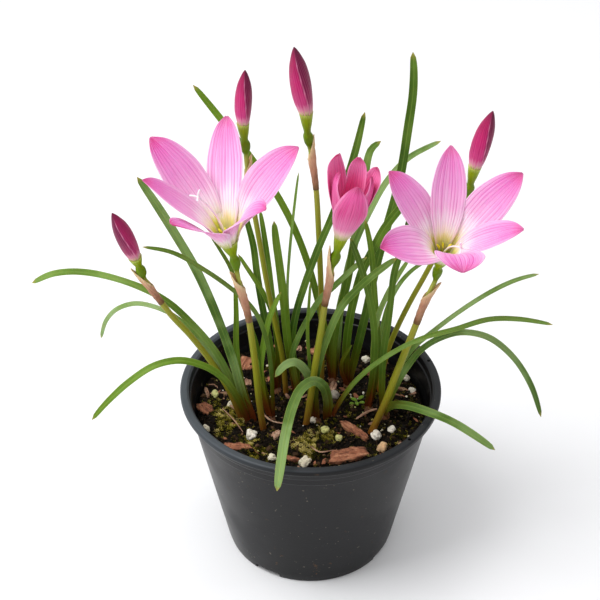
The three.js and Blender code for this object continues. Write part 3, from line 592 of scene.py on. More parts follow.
satinLook = {
    "shader": {"Roughness": 0.4, **softTissue},
    "veins": {"count": 9.0, "waver": 0.2, "sharpness": 1.5},
    "lapWide": 2.0, "ragged": 0.07,
    "rose": [
        (0.0, (150, 160, 50)), (0.04, (214, 190, 150)), (0.1, (220, 140, 170)), (0.2, (204, 60, 128)),
        (0.5, (196, 30, 108)), (0.8, (166, 18, 82)), (0.95, (126, 12, 58)), (1.0, (96, 12, 44)),
    ],
    # the bud's deeper maroon, also painted shade on the facets turned away from the light
    "dark": [
        (0.0, (150, 150, 60)), (0.04, (206, 176, 150)), (0.11, (204, 126, 152)), (0.22, (146, 40, 86)),
        (0.5, (110, 16, 60)), (0.85, (92, 12, 50)), (1.0, (74, 10, 36)),
    ],
    "coats": [
        ((236, 130, 176), {"lines": 0.14}),
        ((140, 24, 82), {"streaks": (0.4, 0.9), "along": (0.15, 0.35, 0.5)}),
        # painted highlight: paler pink along the ridge of each lap, fading out just short of the tip
        ((246, 158, 196), {"toRidge": (0.05, 0.0), "along": (0.98, 0.8, 0.75)}),
    ],
    "bump": (0.1, 0.6),
}


def makeBudSatin(look=satinLook):
    read = startFinish("budSatin", look, "along", "tone", "lap", "toRidge")
    lines, streaks = veinsOf(times(read["lap"], look["lapWide"]), read["along"], read["tone"], look["veins"])
    read.update(lines=lines, streaks=streaks)
    ragged = raggedBy(streaks, look["ragged"], read["along"])
    # each facet's tone draws the rose ramp towards the maroon one: partly the bud's own colour, partly painted
    # shade
    ground = mixed(read["tone"], colourRamp(ragged, look["rose"]), colourRamp(ragged, look["dark"]))
    return painted(look, read, ground, maths("ADD", lines, streaks))


petalLook = {
    "rough": {"inside": 0.46, "outside": 0.52},
    "coats": [
        ("pale", {"aside": (0.6, 1.0, 0.55), "along": (1.0, 0.75)}),
        ("pale", {"tone": 0.3}),
        ("vein", {"lines": 1.0, "along": (0.1, 0.36), "streaks": (0.0, 0.9, 0.8, 0.12), "strength": 1.0}),
        ("pale", {"streaks": (0.75, 0.2, 0.22)}),
    ],
    "veins": {"waver": 0.14, "sharpness": 2.2},
    "closer": 2.2, "fineWaver": 0.1, "veinRun": 1.2, "ragged": 0.08, "strength": (0.45, 0.4),
    "streakHeight": 0.5, "bump": (0.16, 0.6),
}
pinkPetal = {
    "inside": [
        (0.0, (150, 182, 0)), (0.1, (188, 208, 2)), (0.155, (228, 230, 66)), (0.21, (254, 250, 218)),
        (0.31, (252, 236, 244)), (0.46, (236, 170, 212)), (0.65, (226, 136, 198)), (0.84, (220, 98, 180)),
        (0.93, (214, 46, 146)), (1.0, (190, 12, 108)),
    ],
    "outside": [
        (0.0, (148, 170, 30)), (0.05, (200, 206, 120)), (0.1, (240, 226, 214)), (0.2, (238, 172, 210)),
        (0.5, (222, 106, 176)), (0.85, (210, 70, 150)), (1.0, (176, 24, 100)),
    ],
    "pale": (242, 198, 226), "vein": (190, 68, 152), "count": 11,
}
rosePetal = {
    "inside": [
        (0.0, (238, 130, 150)), (0.2, (246, 96, 160)), (0.5, (246, 100, 166)), (0.85, (250, 124, 182)),
        (1.0, (190, 26, 98)),
    ],
    "outside": [
        (0.0, (150, 170, 60)), (0.05, (206, 200, 140)), (0.09, (236, 190, 190)), (0.17, (228, 116, 166)),
        (0.5, (214, 68, 138)), (0.82, (218, 72, 146)), (1.0, (160, 20, 86)),
    ],
    "pale": (250, 164, 206), "vein": (166, 26, 92), "count": 10,
}


def makePetalSkin(name, colours, face):
    look = {**petalLook, "ramp": colours[face]}
    look["coats"] = [(colours[paint], coat) for paint, coat in petalLook["coats"]]
    look["shader"] = {"Roughness": look["rough"][face], **thinTissue}
    read = startFinish(name, look, "across", "along", "tone")
    across, along, tone, count = read["across"], read["along"], read["tone"], colours["count"]
    place = (across, times(along, look["veinRun"]), tone)
    lines = veinsOf(*place, {**look["veins"], "count": count})["Lines"]
    finer = {**look["veins"], "count": count * look["closer"], "waver": look["fineWaver"]}
    streaks = veinsOf(*place, finer)["Streaks"]
    read.update(lines=lines, streaks=streaks, aside=maths("ABSOLUTE", across))
    read["strength"] = timesPlus(tone, *look["strength"])
    height = timesPlus(lines, -1.0, times(streaks, look["streakHeight"]))
    return painted(look, read, raggedBy(streaks, look["ragged"], along), height)


filamentLook = {"shader": {"Roughness": 0.45, **softTissue}, "patchSize": 2.4, "bump": (0.05, 1.0)}


def makeFilament(name, *grounds):
    look = {**filamentLook, "grounds": grounds}
    read = startFinish(name, look)
    return painted(look, read, read["patches"], read["patches"])


# heights and places across the pot are metres in its finish
plasticLook = {
    "shader": {"Roughness": 0.36, "Specular IOR Level": 0.17},
    "patchSize": 38.0,
    "grounds": [(14, 14, 15), (25, 25, 27)],
    "scuffs": {"scale": 150.0, "detail": 4.0, "rough": 0.66},
    "scuffRange": (0.68, 0.76), "scuffFlat": (1.0, 1.0, 2.2),
    "dirt": {"scale": 210.0, "detail": 3.0, "rough": 0.62},
    "dirtRange": (0.66, 0.75), "dirtLow": (0.03, 0.0, 1.0, 0.25),
    "specks": {"scale": 620.0, "detail": 1.0},
    "grain": {"scale": 900.0, "detail": 2.0},
    "coats": [
        ((124, 116, 100), {"specks": (0.735, 0.79, 0.6)}),
        ((120, 120, 122), {"scuffs": 0.2}),
        ((96, 70, 46), {"dirt": 1.0}),
        # painted reflection: the lip paler and bluer on its left side, towards the light
        ((54, 60, 65), {"height": (0.0905, 0.0935), "aside": (0.0, -0.055, 0.8)}),
        # painted highlight: a thin bright line along the crest of the lip, strongest on the left towards the
        # light and broken up by the scuffs
        ((104, 110, 116), {
            "height": (0.0949, 0.0957), "scuffs": (0.0, 1.0, 0.8, 0.3), "aside": (0.03, -0.03, 1.0, 0.3),
        }),
    ],
    "rough": (0.0, 1.0, 0.44, 0.32), "scuffRough": 0.15, "dirtRough": 0.3, "dirtHeight": 2.0,
    "bump": (0.05, 0.5),
}


def makePotPlastic(look=plasticLook):
    read = startFinish("potPlastic", look)
    place = placeOf()
    read["aside"], _, read["height"] = partsOf(place)
    flat = put("ShaderNodeMapping", {"Vector": place, "Scale": look["scuffFlat"]})
    scuffs = read["scuffs"] = stretch(cloudy(flat, **look["scuffs"]), *look["scuffRange"])
    dirt = stretch(cloudy(place, **look["dirt"]), *look["dirtRange"])
    dirt = read["dirt"] = times(dirt, stretch(read["height"], *look["dirtLow"]))
    read["specks"] = cloudy(place, **look["specks"])
    wear = timesPlus(scuffs, look["scuffRough"], stretch(read["patches"], *look["rough"]))
    grain = maths("ADD", cloudy(place, **look["grain"]), times(dirt, look["dirtHeight"]))
    return painted(look, read, read["patches"], grain, timesPlus(dirt, look["dirtRough"], wear))


# the finishes of the mix, its grains and its chips; each grain has its own tone
mixLook = {
    "shader": {"Roughness": 0.9, "Specular IOR Level": 0.08},
    "patchSize": 6.0, "speckSize": 4.0, "grain": {"scale": 1500.0, "detail": 3.0, "rough": 0.65},
    "ramp": [
        (0.0, (8, 5, 2)), (0.5, (22, 15, 8)), (0.72, (52, 36, 22)), (0.86, (98, 74, 52)),
        (0.95, (142, 108, 82)), (1.0, (178, 150, 122)),
    ],
    "coats": [((18, 14, 11), {"patches": 0.5}), ((120, 98, 74), {"specks": 0.4})],
    "rough": {"patches": (0.0, 1.0, 0.95, 0.55)},
    "bump": (0.3, 0.9),
}
perliteLook = {
    "shader": {"Roughness": 0.9},
    "patchSize": 2.6, "speckSize": 3.6, "grain": {"scale": 1300.0, "detail": 3.0, "rough": 0.6},
    # the last stop, a dull grey, is painted shade for a grain that lies in shade
    "ramp": [
        (0.0, (248, 242, 228)), (0.5, (240, 232, 204)), (0.75, (210, 212, 128)), (0.9, (226, 180, 132)),
        (1.0, (158, 152, 142)),
    ],
    "coats": [((176, 164, 132), {"patches": 0.35}), ((112, 96, 68), {"specks": 0.6})],
    "bump": (0.4, 0.9),
}
mossLook = {
    "shader": {"Roughness": 0.8, "Specular IOR Level": 0.12},
    "ramp": [
        (0.0, (22, 26, 4)), (0.3, (70, 70, 8)), (0.55, (134, 126, 26)), (0.8, (200, 182, 76)),
        (1.0, (236, 218, 136)),
    ],
    "coats": [((20, 18, 3), {"lift": (0.7, 0.0, 0.9)})],
}
barkLook = {
    "shader": {"Roughness": 0.82},
    "patchSize": 5.0, "speckSize": 4.0, "grain": {"scale": 1.1, "detail": 4.0, "rough": 0.6},
    "grainRun": 0.12, "byPatches": 0.15, "speckHeight": -0.4,
    "bump": (0.7, 0.9),
}
floorLook = {"shader": {"Roughness": 0.8}, "grounds": [(242, 243, 245), (246, 246, 248)], "cloudScale": 2.0}


def makeGrainy(name, look, *others):
    read = startFinish(name, look, "tone", *others)
    grain = cloudy(placeOf(), **look["grain"]) if "grain" in look else None
    return painted(look, read, read["tone"], grain, shownBy(read, look["rough"]) if "rough" in look else None)


def makeBark(name, groove, *ramp):
    look = {**barkLook, "ramp": ramp, "coats": [(groove, {"specks": 0.5})]}
    read = startFinish(name, look, "along", "across", "tone")
    grain = vectorOf(times(read["along"], look["grainRun"]), read["across"], read["tone"])
    grain = cloudy(grain, **look["grain"])
    height = timesPlus(read["specks"], look["speckHeight"], grain)
    return painted(look, read, timesPlus(read["patches"], look["byPatches"], grain), height)


def makeFloorWhite(look=floorLook):
    read = startFinish("floorWhite", look)
    return painted(look, read, cloudy(placeOf(), look["cloudScale"]))


leafGreen, bulbSkin, stemGreen = makeLeafGreen(), makeBulbSkin(), makeStemGreen()
sheathPaper, budSatin = makeSheathPaper(), makeBudSatin()
pinkSkins, roseSkins = [
    [makePetalSkin(name, colours, "inside"), makePetalSkin(name + "Back", colours, "outside")]
    for name, colours in (("petalPink", pinkPetal), ("petalRose", rosePetal))
]
tepalFinishes = {"2": pinkSkins, "5": roseSkins, "6": pinkSkins}
filamentGold = makeFilament("filamentGold", (176, 184, 30), (206, 206, 70))
pollen = makeFilament("pollen", (206, 196, 36), (232, 220, 80))
styleWhite = makeFilament("styleWhite", (244, 226, 236), (252, 246, 246))
potPlastic = makePotPlastic()
mixDark = makeGrainy("mixDark", mixLook)
mossGreen = makeGrainy("mossGreen", mossLook, "lift")
perliteWhite = makeGrainy("perliteWhite", perliteLook)
barkRed = makeBark(
    "barkRed", (34, 17, 10),
    (0.25, (54, 28, 18)), (0.42, (108, 64, 44)), (0.58, (160, 100, 70)), (0.78, (202, 144, 108)),
)
barkPale = makeBark(
    "barkPale", (50, 32, 22),
    (0.25, (84, 58, 42)), (0.42, (136, 98, 76)), (0.6, (176, 136, 110)), (0.8, (208, 176, 148)),
)
floorWhite = makeFloorWhite()
print("finishes:", len(bpy.data.materials))


# trees that follow a path
def startGeometry(name, **given):
    given = {"Geometry": "Geometry", **given, "Material": "Material"}
    return startTree(name, "GeometryNodeTree", given, {"Geometry": "Geometry"})


def finishTree(geometry, given, made):
    whole = put("GeometryNodeRealizeInstances", {0: geometry})
    feed(put("GeometryNodeSetMaterial", {"Geometry": whole, "Material": given["Material"]}), made["Geometry"])
    return now["tree"]


def named(name, form="FLOAT"):
    return put("GeometryNodeInputNamedAttribute", {"Name": name}, data_type=form)


def position():
    return put("GeometryNodeInputPosition")


def store(geometry, name, value):
    inputs = {"Geometry": geometry, "Name": name, "Value": value}
    return put("GeometryNodeStoreNamedAttribute", inputs, data_type="FLOAT", domain="POINT")


def sectionOf(sides, first, second):
    # a round section that remembers where its points lay
    circle = put("GeometryNodeCurvePrimitiveCircle", {"Resolution": sides, "Radius": 1.0})
    x, y, _ = partsOf(position())
    return store(store(circle, first, x), second, y), x, y


def swept(way, section, scale):
    skin = {"Curve": way, "Profile Curve": section, "Scale": named(scale), "Fill Caps": True}
    return put("GeometryNodeCurveToMesh", skin)


def bladeTree():
    # sweeps a thin channelled section along each chain of edges, turned by its "facing"
    given, made = startGeometry("blade", Sides="Int", Thickness="Float", Channel="Float")
    circle, x, y = sectionOf(given["Sides"], "topSide", "across")
    height = timesPlus(x, given["Thickness"], times(times(y, y), given["Channel"]))
    section = put("GeometryNodeSetPosition", {"Geometry": circle, "Position": vectorOf(height, y)})
    way = put("GeometryNodeMeshToCurve", {"Mesh": given["Geometry"]})
    facing = {"Curve": way, "Normal": named("facing", "FLOAT_VECTOR")}
    way = put("GeometryNodeSetCurveNormal", facing, mode="FREE")
    return finishTree(swept(way, section, "half"), given, made)


def tubeTree():
    # sweeps a round section with three low lobes along each chain of edges
    given, made = startGeometry("tube", Sides="Int", Lobes="Float")
    circle, _, _ = sectionOf(given["Sides"], "ringX", "ringY")
    tube = swept(put("GeometryNodeMeshToCurve", {"Mesh": given["Geometry"]}), circle, "radius")
    ringX = named("ringX")
    threefold = times(timesPlus(times(ringX, ringX), 4.0, -3.0), ringX)
    outwards = vectors("SUBTRACT", {0: position(), 1: named("middle", "FLOAT_VECTOR")})
    offset = vectors("SCALE", {0: outwards, "Scale": times(threefold, given["Lobes"])})
    tube = put("GeometryNodeSetPosition", {"Geometry": tube, "Offset": offset})
    return finishTree(tube, given, made)


blades = bladeTree()
tubes = tubeTree()


def tubeWay(points, radii, **values):
    # the chain that the tube tree sweeps: its points and the radius at each, in metres
    return {"points": points, "middle": [p * mm for p in points], "radius": [r * mm for r in radii], **values}


def spreadOver(values, count):
    # each value once for every point of its ring
    return [value for value in values for j in range(count)]


def rowOf(*names):
    return {name: [] for name in names}


def addValues(row, *values):
    for column, value in zip(row.values(), values):
        column.append(value)


# the leaves of each bulb: width, lean away from the front, roll, the painted sheen on some, and their way in
# the picture
tufts = [
    {"name": "left", "root": (251, 422), "bulb": (-36, -18), "leaves": [
        {"width": 4.2, "lean": 22, "turn": 40, "paintedSheen": 0.2, "via": [(249, 420), (236, 392), (215, 352),
         (190, 323), (165, 301), (130, 284), (85, 273), (55, 274), (32, 283)]},
        {"width": 3, "lean": 36, "turn": 40, "paintedSheen": 0.65, "via": [(250, 419), (238, 395), (222, 368),
         (205, 346), (188, 328), (170, 314), (150, 306), (135, 304), (118, 309), (107, 320), (101, 338)]},
        {"width": 4, "lean": -22, "turn": 35, "paintedSheen": 0.1, "via": [(248, 423), (238, 400), (222, 378),
         (205, 367), (180, 361), (155, 366), (130, 382), (108, 402), (92, 420)]},
        {"width": 4.5, "lean": 30, "turn": 10, "paintedSheen": 0.32, "via": [(252, 420), (244, 400), (232, 358),
         (215, 312), (196, 270), (176, 236), (155, 203), (137, 177)]},
        {"width": 3, "lean": 26, "turn": 20, "via": [(254, 421), (247, 400), (240, 375), (236, 345),
         (236, 315), (235, 285)]},
    ]},
    {"name": "front_left", "root": (272, 418), "bulb": (-19, -18), "leaves": [
        {"width": 3.4, "lean": 6, "turn": 30, "via": [(270, 417), (264, 395), (261, 370), (264, 345),
         (270, 318), (281, 292)]},
        {"width": 3, "lean": -18, "turn": 45, "paintedSheen": 0.15, "via": [(273, 418), (272, 398), (271, 375),
         (267, 345), (259, 320), (249, 305), (232, 290), (205, 271), (172, 253), (142, 247)]},
        {"width": 2.4, "lean": 6, "turn": 40, "via": [(272, 416), (263, 380), (258, 350), (250, 325),
         (240, 298), (230, 268), (219, 249), (208, 232)]},
    ]},
    {"name": "back_left", "root": (276, 389), "bulb": (-20, 8), "leaves": [
        {"width": 3.6, "lean": 26, "turn": 10, "via": [(276, 389), (273, 365), (268, 335), (262, 305),
         (257, 275), (253, 245), (247, 222), (243, 208)]},
        {"width": 3, "lean": 36, "turn": 10, "via": [(278, 388), (279, 360), (277, 330), (272, 295),
         (268, 262), (264, 235), (260, 210)]},
        {"width": 2.8, "lean": 14, "turn": 30, "via": [(275, 390), (277, 350), (272, 315), (264, 295),
         (254, 279), (244, 264), (238, 254)]},
    ]},
    {"name": "middle", "root": (298, 396), "bulb": (-3, 6), "leaves": [
        {"width": 4.1, "lean": 0, "turn": 0, "via": [(297, 395), (293, 370), (289, 350), (286, 325),
         (283, 295), (279, 262), (276, 240), (274, 221)]},
        {"width": 2.8, "lean": 22, "turn": 60, "via": [(299, 394), (295, 372), (291, 345), (289, 315),
         (288, 290), (290, 255), (294, 215), (299, 172)]},
        {"width": 3.8, "lean": 12, "turn": 20, "via": [(299, 396), (296, 370), (292, 345), (296, 315),
         (305, 285), (318, 250), (331, 220), (345, 185), (356, 150), (365, 112)]},
        {"width": 3.4, "lean": -10, "turn": 30, "paintedSheen": 0.3, "via": [(300, 397), (295, 375), (293, 355),
         (300, 335), (309, 318), (320, 300), (335, 286), (350, 272), (367, 257)]},
    ]},
    {"name": "front_middle", "root": (316, 420), "bulb": (0, -22), "leaves": [
        {"width": 2.4, "lean": -8, "turn": 50, "via": [(315, 419), (313, 395), (310, 372), (308, 350),
         (307, 330), (308, 310), (310, 283)]},
        {"width": 3.8, "lean": -18, "turn": 20, "paintedSheen": 0.2, "via": [(317, 419), (315, 395), (318, 368),
         (326, 342), (342, 307), (358, 289), (375, 274), (397, 258)]},
        {"width": 4.6, "lean": -12, "turn": 10, "paintedSheen": 0.5, "via": [(315, 418), (312, 395), (310, 381),
         (304, 369), (294, 362), (284, 366), (275, 377)]},
    ]},
    {"name": "front_right", "root": (330, 417), "bulb": (16, -15), "leaves": [
        {"width": 4.8, "lean": -72, "turn": 0, "bow": 1.2, "paintedSheen": 0.42, "via": [(327, 418), (328, 402),
         (323, 386), (313, 381), (301, 389), (292, 408), (286, 432), (281, 462), (277, 491)]},
        {"width": 3.6, "lean": -38, "turn": 50, "bow": 1, "paintedSheen": 0.35, "via": [(333, 417), (342, 400),
         (354, 384), (370, 369), (392, 354), (415, 342), (432, 336), (455, 330), (490, 320), (520, 320),
         (553, 325)]},
    ]},
    {"name": "back_middle", "root": (333, 378), "bulb": (6, 26), "leaves": [
        {"width": 3.7, "lean": 34, "turn": 20, "via": [(331, 378), (329, 355), (324, 328), (318, 302),
         (311, 275), (302, 248), (290, 220), (274, 191), (252, 160), (222, 121), (193, 85)]},
        {"width": 4.3, "lean": 40, "turn": 10, "paintedSheen": 0.25, "via": [(334, 377), (336, 345), (340, 310),
         (347, 280), (353, 250), (358, 222), (364, 185), (371, 150), (381, 141)]},
        {"width": 3.6, "lean": 26, "turn": 30, "paintedSheen": 0.45, "via": [(335, 378), (338, 350), (342, 305),
         (349, 264), (358, 238), (370, 212), (387, 182), (408, 159), (441, 141)]},
        {"width": 4, "lean": 3, "turn": 10, "via": [(333, 379), (333, 352), (337, 322), (345, 292), (350, 268),
         (352, 244)]},
    ]},
    {"name": "back_right", "root": (348, 384), "bulb": (23, 24), "leaves": [
        {"width": 4.3, "lean": 16, "turn": 10, "via": [(349, 383), (355, 358), (362, 330), (368, 305),
         (374, 278), (380, 253), (389, 220), (396, 195), (402, 168), (408, 130), (413, 95), (414, 70),
         (413, 52)]},
        {"width": 4.2, "lean": -6, "turn": 10, "via": [(347, 384), (346, 358), (349, 325), (354, 300),
         (362, 272), (372, 252), (385, 228), (403, 205), (416, 188)]},
        {"width": 2.4, "lean": -2, "turn": 30, "via": [(348, 386), (342, 372), (342, 362), (346, 354),
         (352, 345)]},
    ]},
    {"name": "right", "root": (368, 408), "bulb": (31, 6), "leaves": [
        {"width": 3.5, "lean": -8, "turn": 20, "via": [(367, 407), (371, 385), (374, 352), (374, 330),
         (371, 308), (366, 285), (359, 262), (350, 238)]},
        {"width": 3.2, "lean": 16, "turn": 20, "via": [(369, 407), (375, 380), (378, 350), (376, 318),
         (374, 290), (372, 262), (370, 245), (365, 220)]},
        {"width": 3, "lean": 8, "turn": 30, "paintedSheen": 0.35, "via": [(369, 408), (373, 375), (374, 345),
         (378, 318), (386, 298), (397, 278), (410, 258)]},
        {"width": 2.8, "lean": 24, "turn": 40, "paintedSheen": 0.45, "via": [(370, 407), (378, 365), (382, 332),
         (389, 305), (400, 284), (413, 270), (430, 259)]},
    ]},
    {"name": "far_right", "root": (384, 413), "bulb": (34, -12), "leaves": [
        {"width": 3.3, "lean": 6, "turn": 10, "via": [(383, 412), (382, 385), (384, 350), (388, 325),
         (391, 300), (394, 275), (399, 257), (408, 225), (411, 210)]},
        {"width": 3.4, "lean": 24, "turn": 45, "paintedSheen": 0.45, "via": [(385, 412), (393, 388), (402, 365),
         (414, 348), (432, 333), (460, 312), (490, 293), (515, 281), (539, 274)]},
        {"width": 4, "lean": -34, "turn": 40, "paintedSheen": 0.4, "via": [(385, 414), (396, 387), (408, 367),
         (422, 350), (442, 338), (463, 333), (488, 338), (512, 357), (530, 385), (541, 417)]},
        {"width": 4.2, "lean": -32, "turn": 20, "bow": 0.6, "paintedSheen": 0.32, "via": [(384, 415), (388, 408),
         (396, 405), (408, 406), (425, 411), (450, 421), (472, 434), (495, 450)]},
    ]},
]
# the flower stems, each with the places of its sheath, ovary and mouth
stems = [
    # a bud's three facet values give how far each facet is darkened: its own maroon and painted shade away from
    # the light
    {"name": "1", "radius": 1.6, "tongueTurn": 180, "drop": 2, "tongue": 10, "lean": -4, "via": [(241, 417),
     (228, 388), (210, 360), (190, 335), (172, 316), (161, 302), (149, 286), (144, 278)], "sheath": 5,
     "ovary": (141, 271), "mouth": (135, 257), "mouthRadius": 3.2, "reach": 2,
     "bud": {"tip": (112, 213), "radius": 4.1, "maroonAndShade": (1, 0.5, 1)}},
    {"name": "2", "radius": 1.7, "tongueTurn": 180, "lean": -14, "via": [(263, 427), (259, 400), (256, 370),
     (252, 340), (249, 320), (244, 300), (239, 282), (237, 272)], "sheath": 4, "ovary": (235, 262),
     "mouth": (228, 240), "mouthRadius": 4.4, "reach": 3},
    {"name": "3", "radius": 1.4, "lean": 0, "via": [(286, 394), (283, 360), (277, 330), (271, 303), (266, 278),
     (261, 250), (256, 222), (250, 190), (247, 166), (246, 155)], "sheath": 7, "ovary": (245, 146),
     "mouth": (243, 123), "mouthRadius": 2.9, "reach": 2,
     "bud": {"tip": (245, 70), "radius": 3.8, "maroonAndShade": (0.1, 0.9, 0.5)}},
    {"name": "4", "radius": 1.5, "drop": 1.5, "tongue": 8, "lean": 8, "via": [(321, 386), (322, 340),
     (321, 290), (319, 240), (317, 200), (316, 188), (313, 165), (310, 148)], "sheath": 5, "ovary": (308, 138),
     "mouth": (306, 112), "mouthRadius": 3.3, "reach": 3,
     "bud": {"tip": (294, 47), "radius": 4.7, "maroonAndShade": (0.1, 0.9, 0.5)}},
    {"name": "5", "radius": 1.7, "tongueTurn": 180, "drop": 1.5, "tongue": 14, "lean": -6, "via": [(306, 425),
     (311, 395), (316, 360), (321, 330), (325, 304), (329, 285), (332, 268)], "sheath": 4, "ovary": (335, 258),
     "mouth": (342, 234), "mouthRadius": 3.5, "reach": 2},
    {"name": "6", "radius": 1.8, "lean": 4, "via": [(372, 431), (385, 403), (397, 372), (408, 345), (417, 322),
     (424, 304), (431, 289), (435, 281)], "sheath": 4, "ovary": (437, 272), "mouth": (442, 256),
     "mouthRadius": 4.2, "reach": 7},
    {"name": "7", "radius": 1.4, "lean": 14, "via": [(379, 392), (384, 365), (389, 347), (397, 328),
     (410, 302), (424, 277), (437, 253), (451, 225), (463, 203), (467, 196)], "sheath": 7, "ovary": (469, 189),
     "mouth": (475, 166), "mouthRadius": 3.2, "reach": 3,
     "bud": {"tip": (493, 111), "radius": 4.4, "maroonAndShade": (0.1, 0.9, 0.5)}},
]
# the open flowers: where each tepal ends in the picture, and its length
blooms = [
    {"stem": "2", "width": 18, "rise": 0.3, "cup": 0.14, "style": {"tip": (198, 197), "length": 34},
     "stamens": {"reach": 4, "spread": 2.2}, "tepals": [
        {"tip": (150, 137), "length": 56, "width": 19.5, "pale": 0.15},
        {"tip": (227, 116), "length": 57, "far": True, "width": 16.5, "tuck": 2, "pale": 0.75},
        {"tip": (299, 147), "length": 53, "width": 19, "face": 0.45, "pale": 0.6},
        {"tip": (266, 210), "length": 42, "tuck": 1.4, "rise": 0.44, "arch": 0.14, "face": 0.05, "pale": 0.4},
        {"tip": (171, 224), "length": 45, "width": 20, "rise": 0.38, "arch": 0, "face": 0.12, "pale": 0.1},
        {"tip": (142, 180), "length": 51, "width": 16.5, "tuck": 2, "pale": 0.2},
    ]},
    {"stem": "5", "width": 14.5, "rise": 0.5, "cup": 0.6,
     "outline": [(0, 0.4), (0.15, 0.66), (0.35, 0.94), (0.5, 1), (0.7, 0.86), (0.9, 0.52), (1, 0.1)],
     "style": {"tip": (352, 193), "length": 18}, "stamens": {"reach": 7, "spread": 1.6}, "tepals": [
        {"tip": (339, 154), "length": 39.5, "bow": 0.3, "width": 15.5, "tuck": 2},
        {"tip": (359, 157), "length": 39, "width": 12.8, "tuck": 3},
        {"tip": (378, 168), "length": 37.5, "bow": 0.2, "width": 15, "tuck": 2},
        {"tip": (371, 177), "length": 35, "width": 14.5, "tuck": 1, "bow": 0.2},
        {"tip": (358, 187), "length": 34, "width": 16.8, "blunt": 0.72, "bow": 0.28},
        {"tip": (340, 172), "length": 35, "width": 15, "tuck": 1, "bow": 0.22},
    ]},
    {"stem": "6", "width": 17.5, "rise": 0.32, "cup": 0.14, "style": {"tip": (461, 248), "length": 24},
     "stamens": {"reach": 5, "spread": 2.8}, "tepals": [
        {"tip": (389, 171), "length": 48, "pale": 0.2},
        {"tip": (451, 145), "length": 51, "tuck": 2, "width": 16, "pale": 0.7},
        {"tip": (523, 173), "length": 53, "width": 18, "face": 0.4, "pale": 0.4},
        {"tip": (524, 229), "length": 46, "tuck": 2, "width": 15.5, "pale": 0.6},
        {"tip": (463, 273), "length": 42, "width": 22, "rise": 0.55, "arch": 0.36, "blunt": 1.7, "pale": 0.5},
        {"tip": (380, 248), "length": 43, "width": 20, "face": 0.25, "tuck": 2, "rise": 0.36, "pale": 0.2},
    ]},
]

# leaves: each blade rises from the neck of its bulb, and one tuft is one piece
leafSize = {
    "station": 2.4, "sides": 18, "thickness": 0.16, "channel": 0.3, "sink": 4, "root": 0.7, "seed": 5,
    "tip": [(0, 0.05), (0.7, 0.36), (2.5, 0.62), (7, 0.82), (18, 0.95), (34, 1)],
    "sway": 0.16, "swaySize": 45, "widthSway": 0.05, "widthSwaySize": 14,
}
bulbSize = {
    "radius": 8, "bottom": 34, "middle": 44, "shoulder": 57, "neckDrop": 9, "neck": 3.2, "neckTop": 1,
    "sides": 28, "rings": 40,
}


def bulbChain(tuft):
    # the bulb and its slanting neck, from the root plate up to where the leaves part
    size = bulbSize
    top, start = onLevel(tuft["root"]), Vector((*tuft["bulb"], 0))
    below = Vector((*top.xy, soilLevel - size["neckDrop"]))

    def rise(z, share=0):
        return Vector((*start.lerp(below, share).xy, z))

    radius, neck = size["radius"], size["neck"]
    stops = [
        (rise(size["bottom"]), radius * 0.3),
        (rise(size["bottom"] + 3.5), radius * 0.85),
        (rise(size["middle"]), radius),
        (rise(size["shoulder"], 0.3), radius * 0.5),
        (below, neck),
        (Vector((*top.xy, soilLevel - 1)), neck),
        (Vector((*top.xy, soilLevel + size["neckTop"])), neck * 0.35),
    ]
    way = smoothWay([place for place, width in stops])
    widths = [(nearestRun(way, place), width) for place, width in stops]
    runs = [way["length"] * share for share in shares(size["rings"])]
    points = [placeOn(way, run) for run in runs]
    return tubeWay(points, [profileAt(widths, run) for run in runs], rise=[p.z - soilLevel for p in points])


def bladeWay(leaf, neck, dice):
    size = leafSize
    path = leaningPath(leaf["via"], leaf["lean"], leaf.get("bow", 1.4))
    root = path[0].lerp(neck, 0.3)
    root.z = soilLevel - size["sink"]
    way = smoothWay([root, *path])
    length = way["length"]
    roll = math.radians(leaf["turn"]) * math.copysign(1, path[0].x - path[-1].x)
    tone, shift = dice.random(), dice.uniform(0, 100)
    # each station also carries the leaf's tone and how much painted sheen its upper face gets
    made = rowOf("points", "facing", "half", "along", "rise", "tone", "paintedSheen")
    for share in shares(round(length / size["station"])):
        run = length * share
        middle, heading = placeOn(way, run), headingOn(way, run)
        side = heading.cross(eye - middle).normalized()
        swing = roll + size["sway"] * noise.noise(Vector((run / size["swaySize"], shift, 0)))
        width = profileAt(size["tip"], length - run) * min(1, size["root"] + 3 * share)
        width *= 1 + size["widthSway"] * noise.noise(Vector((run / size["widthSwaySize"], shift, 4)))
        facing, half = armAt(swing, side.cross(heading), side), leaf["width"] / 2 * width * mm
        addValues(made, middle, facing, half, share, run - size["sink"], tone, leaf.get("paintedSheen", 0.05))
    return made


def makeTufts():
    dice = random.Random(leafSize["seed"])
    blade = {"Sides": leafSize["sides"], "Thickness": leafSize["thickness"], "Channel": leafSize["channel"]}
    for tuft in tufts:
        neck = Vector((*onLevel(tuft["root"]).xy, soilLevel - 1))
        ways = [bladeWay(leaf, neck, dice) for leaf in tuft["leaves"]]
        leaves = grown("leaves", ways, blades, **blade, Material=leafGreen)
        body = grown("bulb", [bulbChain(tuft)], tubes, Sides=bulbSize["sides"], Lobes=0.0, Material=bulbSkin)
        settle(joined("tuft_" + tuft["name"], [leaves, body]), "leaf", "bulb_and_leaves_" + tuft["name"])
    print("tufts of leaves:", len(tufts))


# flower stems: scape, pedicel, ovary and the tube that widens to the flower's mouth
stemSize = {
    "foot": 12, "pedicel": 1.1, "step": 0.9, "ovary": 2.45, "ovaryHalf": 1.2, "ovaryReach": 2.6,
    "ovaryLobes": 0.09, "neck": 1.65, "taper": 0.12, "station": 2.2, "sides": 20, "headSides": 36,
    "headStep": 0.5, "wall": 0.4, "throatDepth": 6, "throatEnd": 0.8, "throatRings": 10,
}


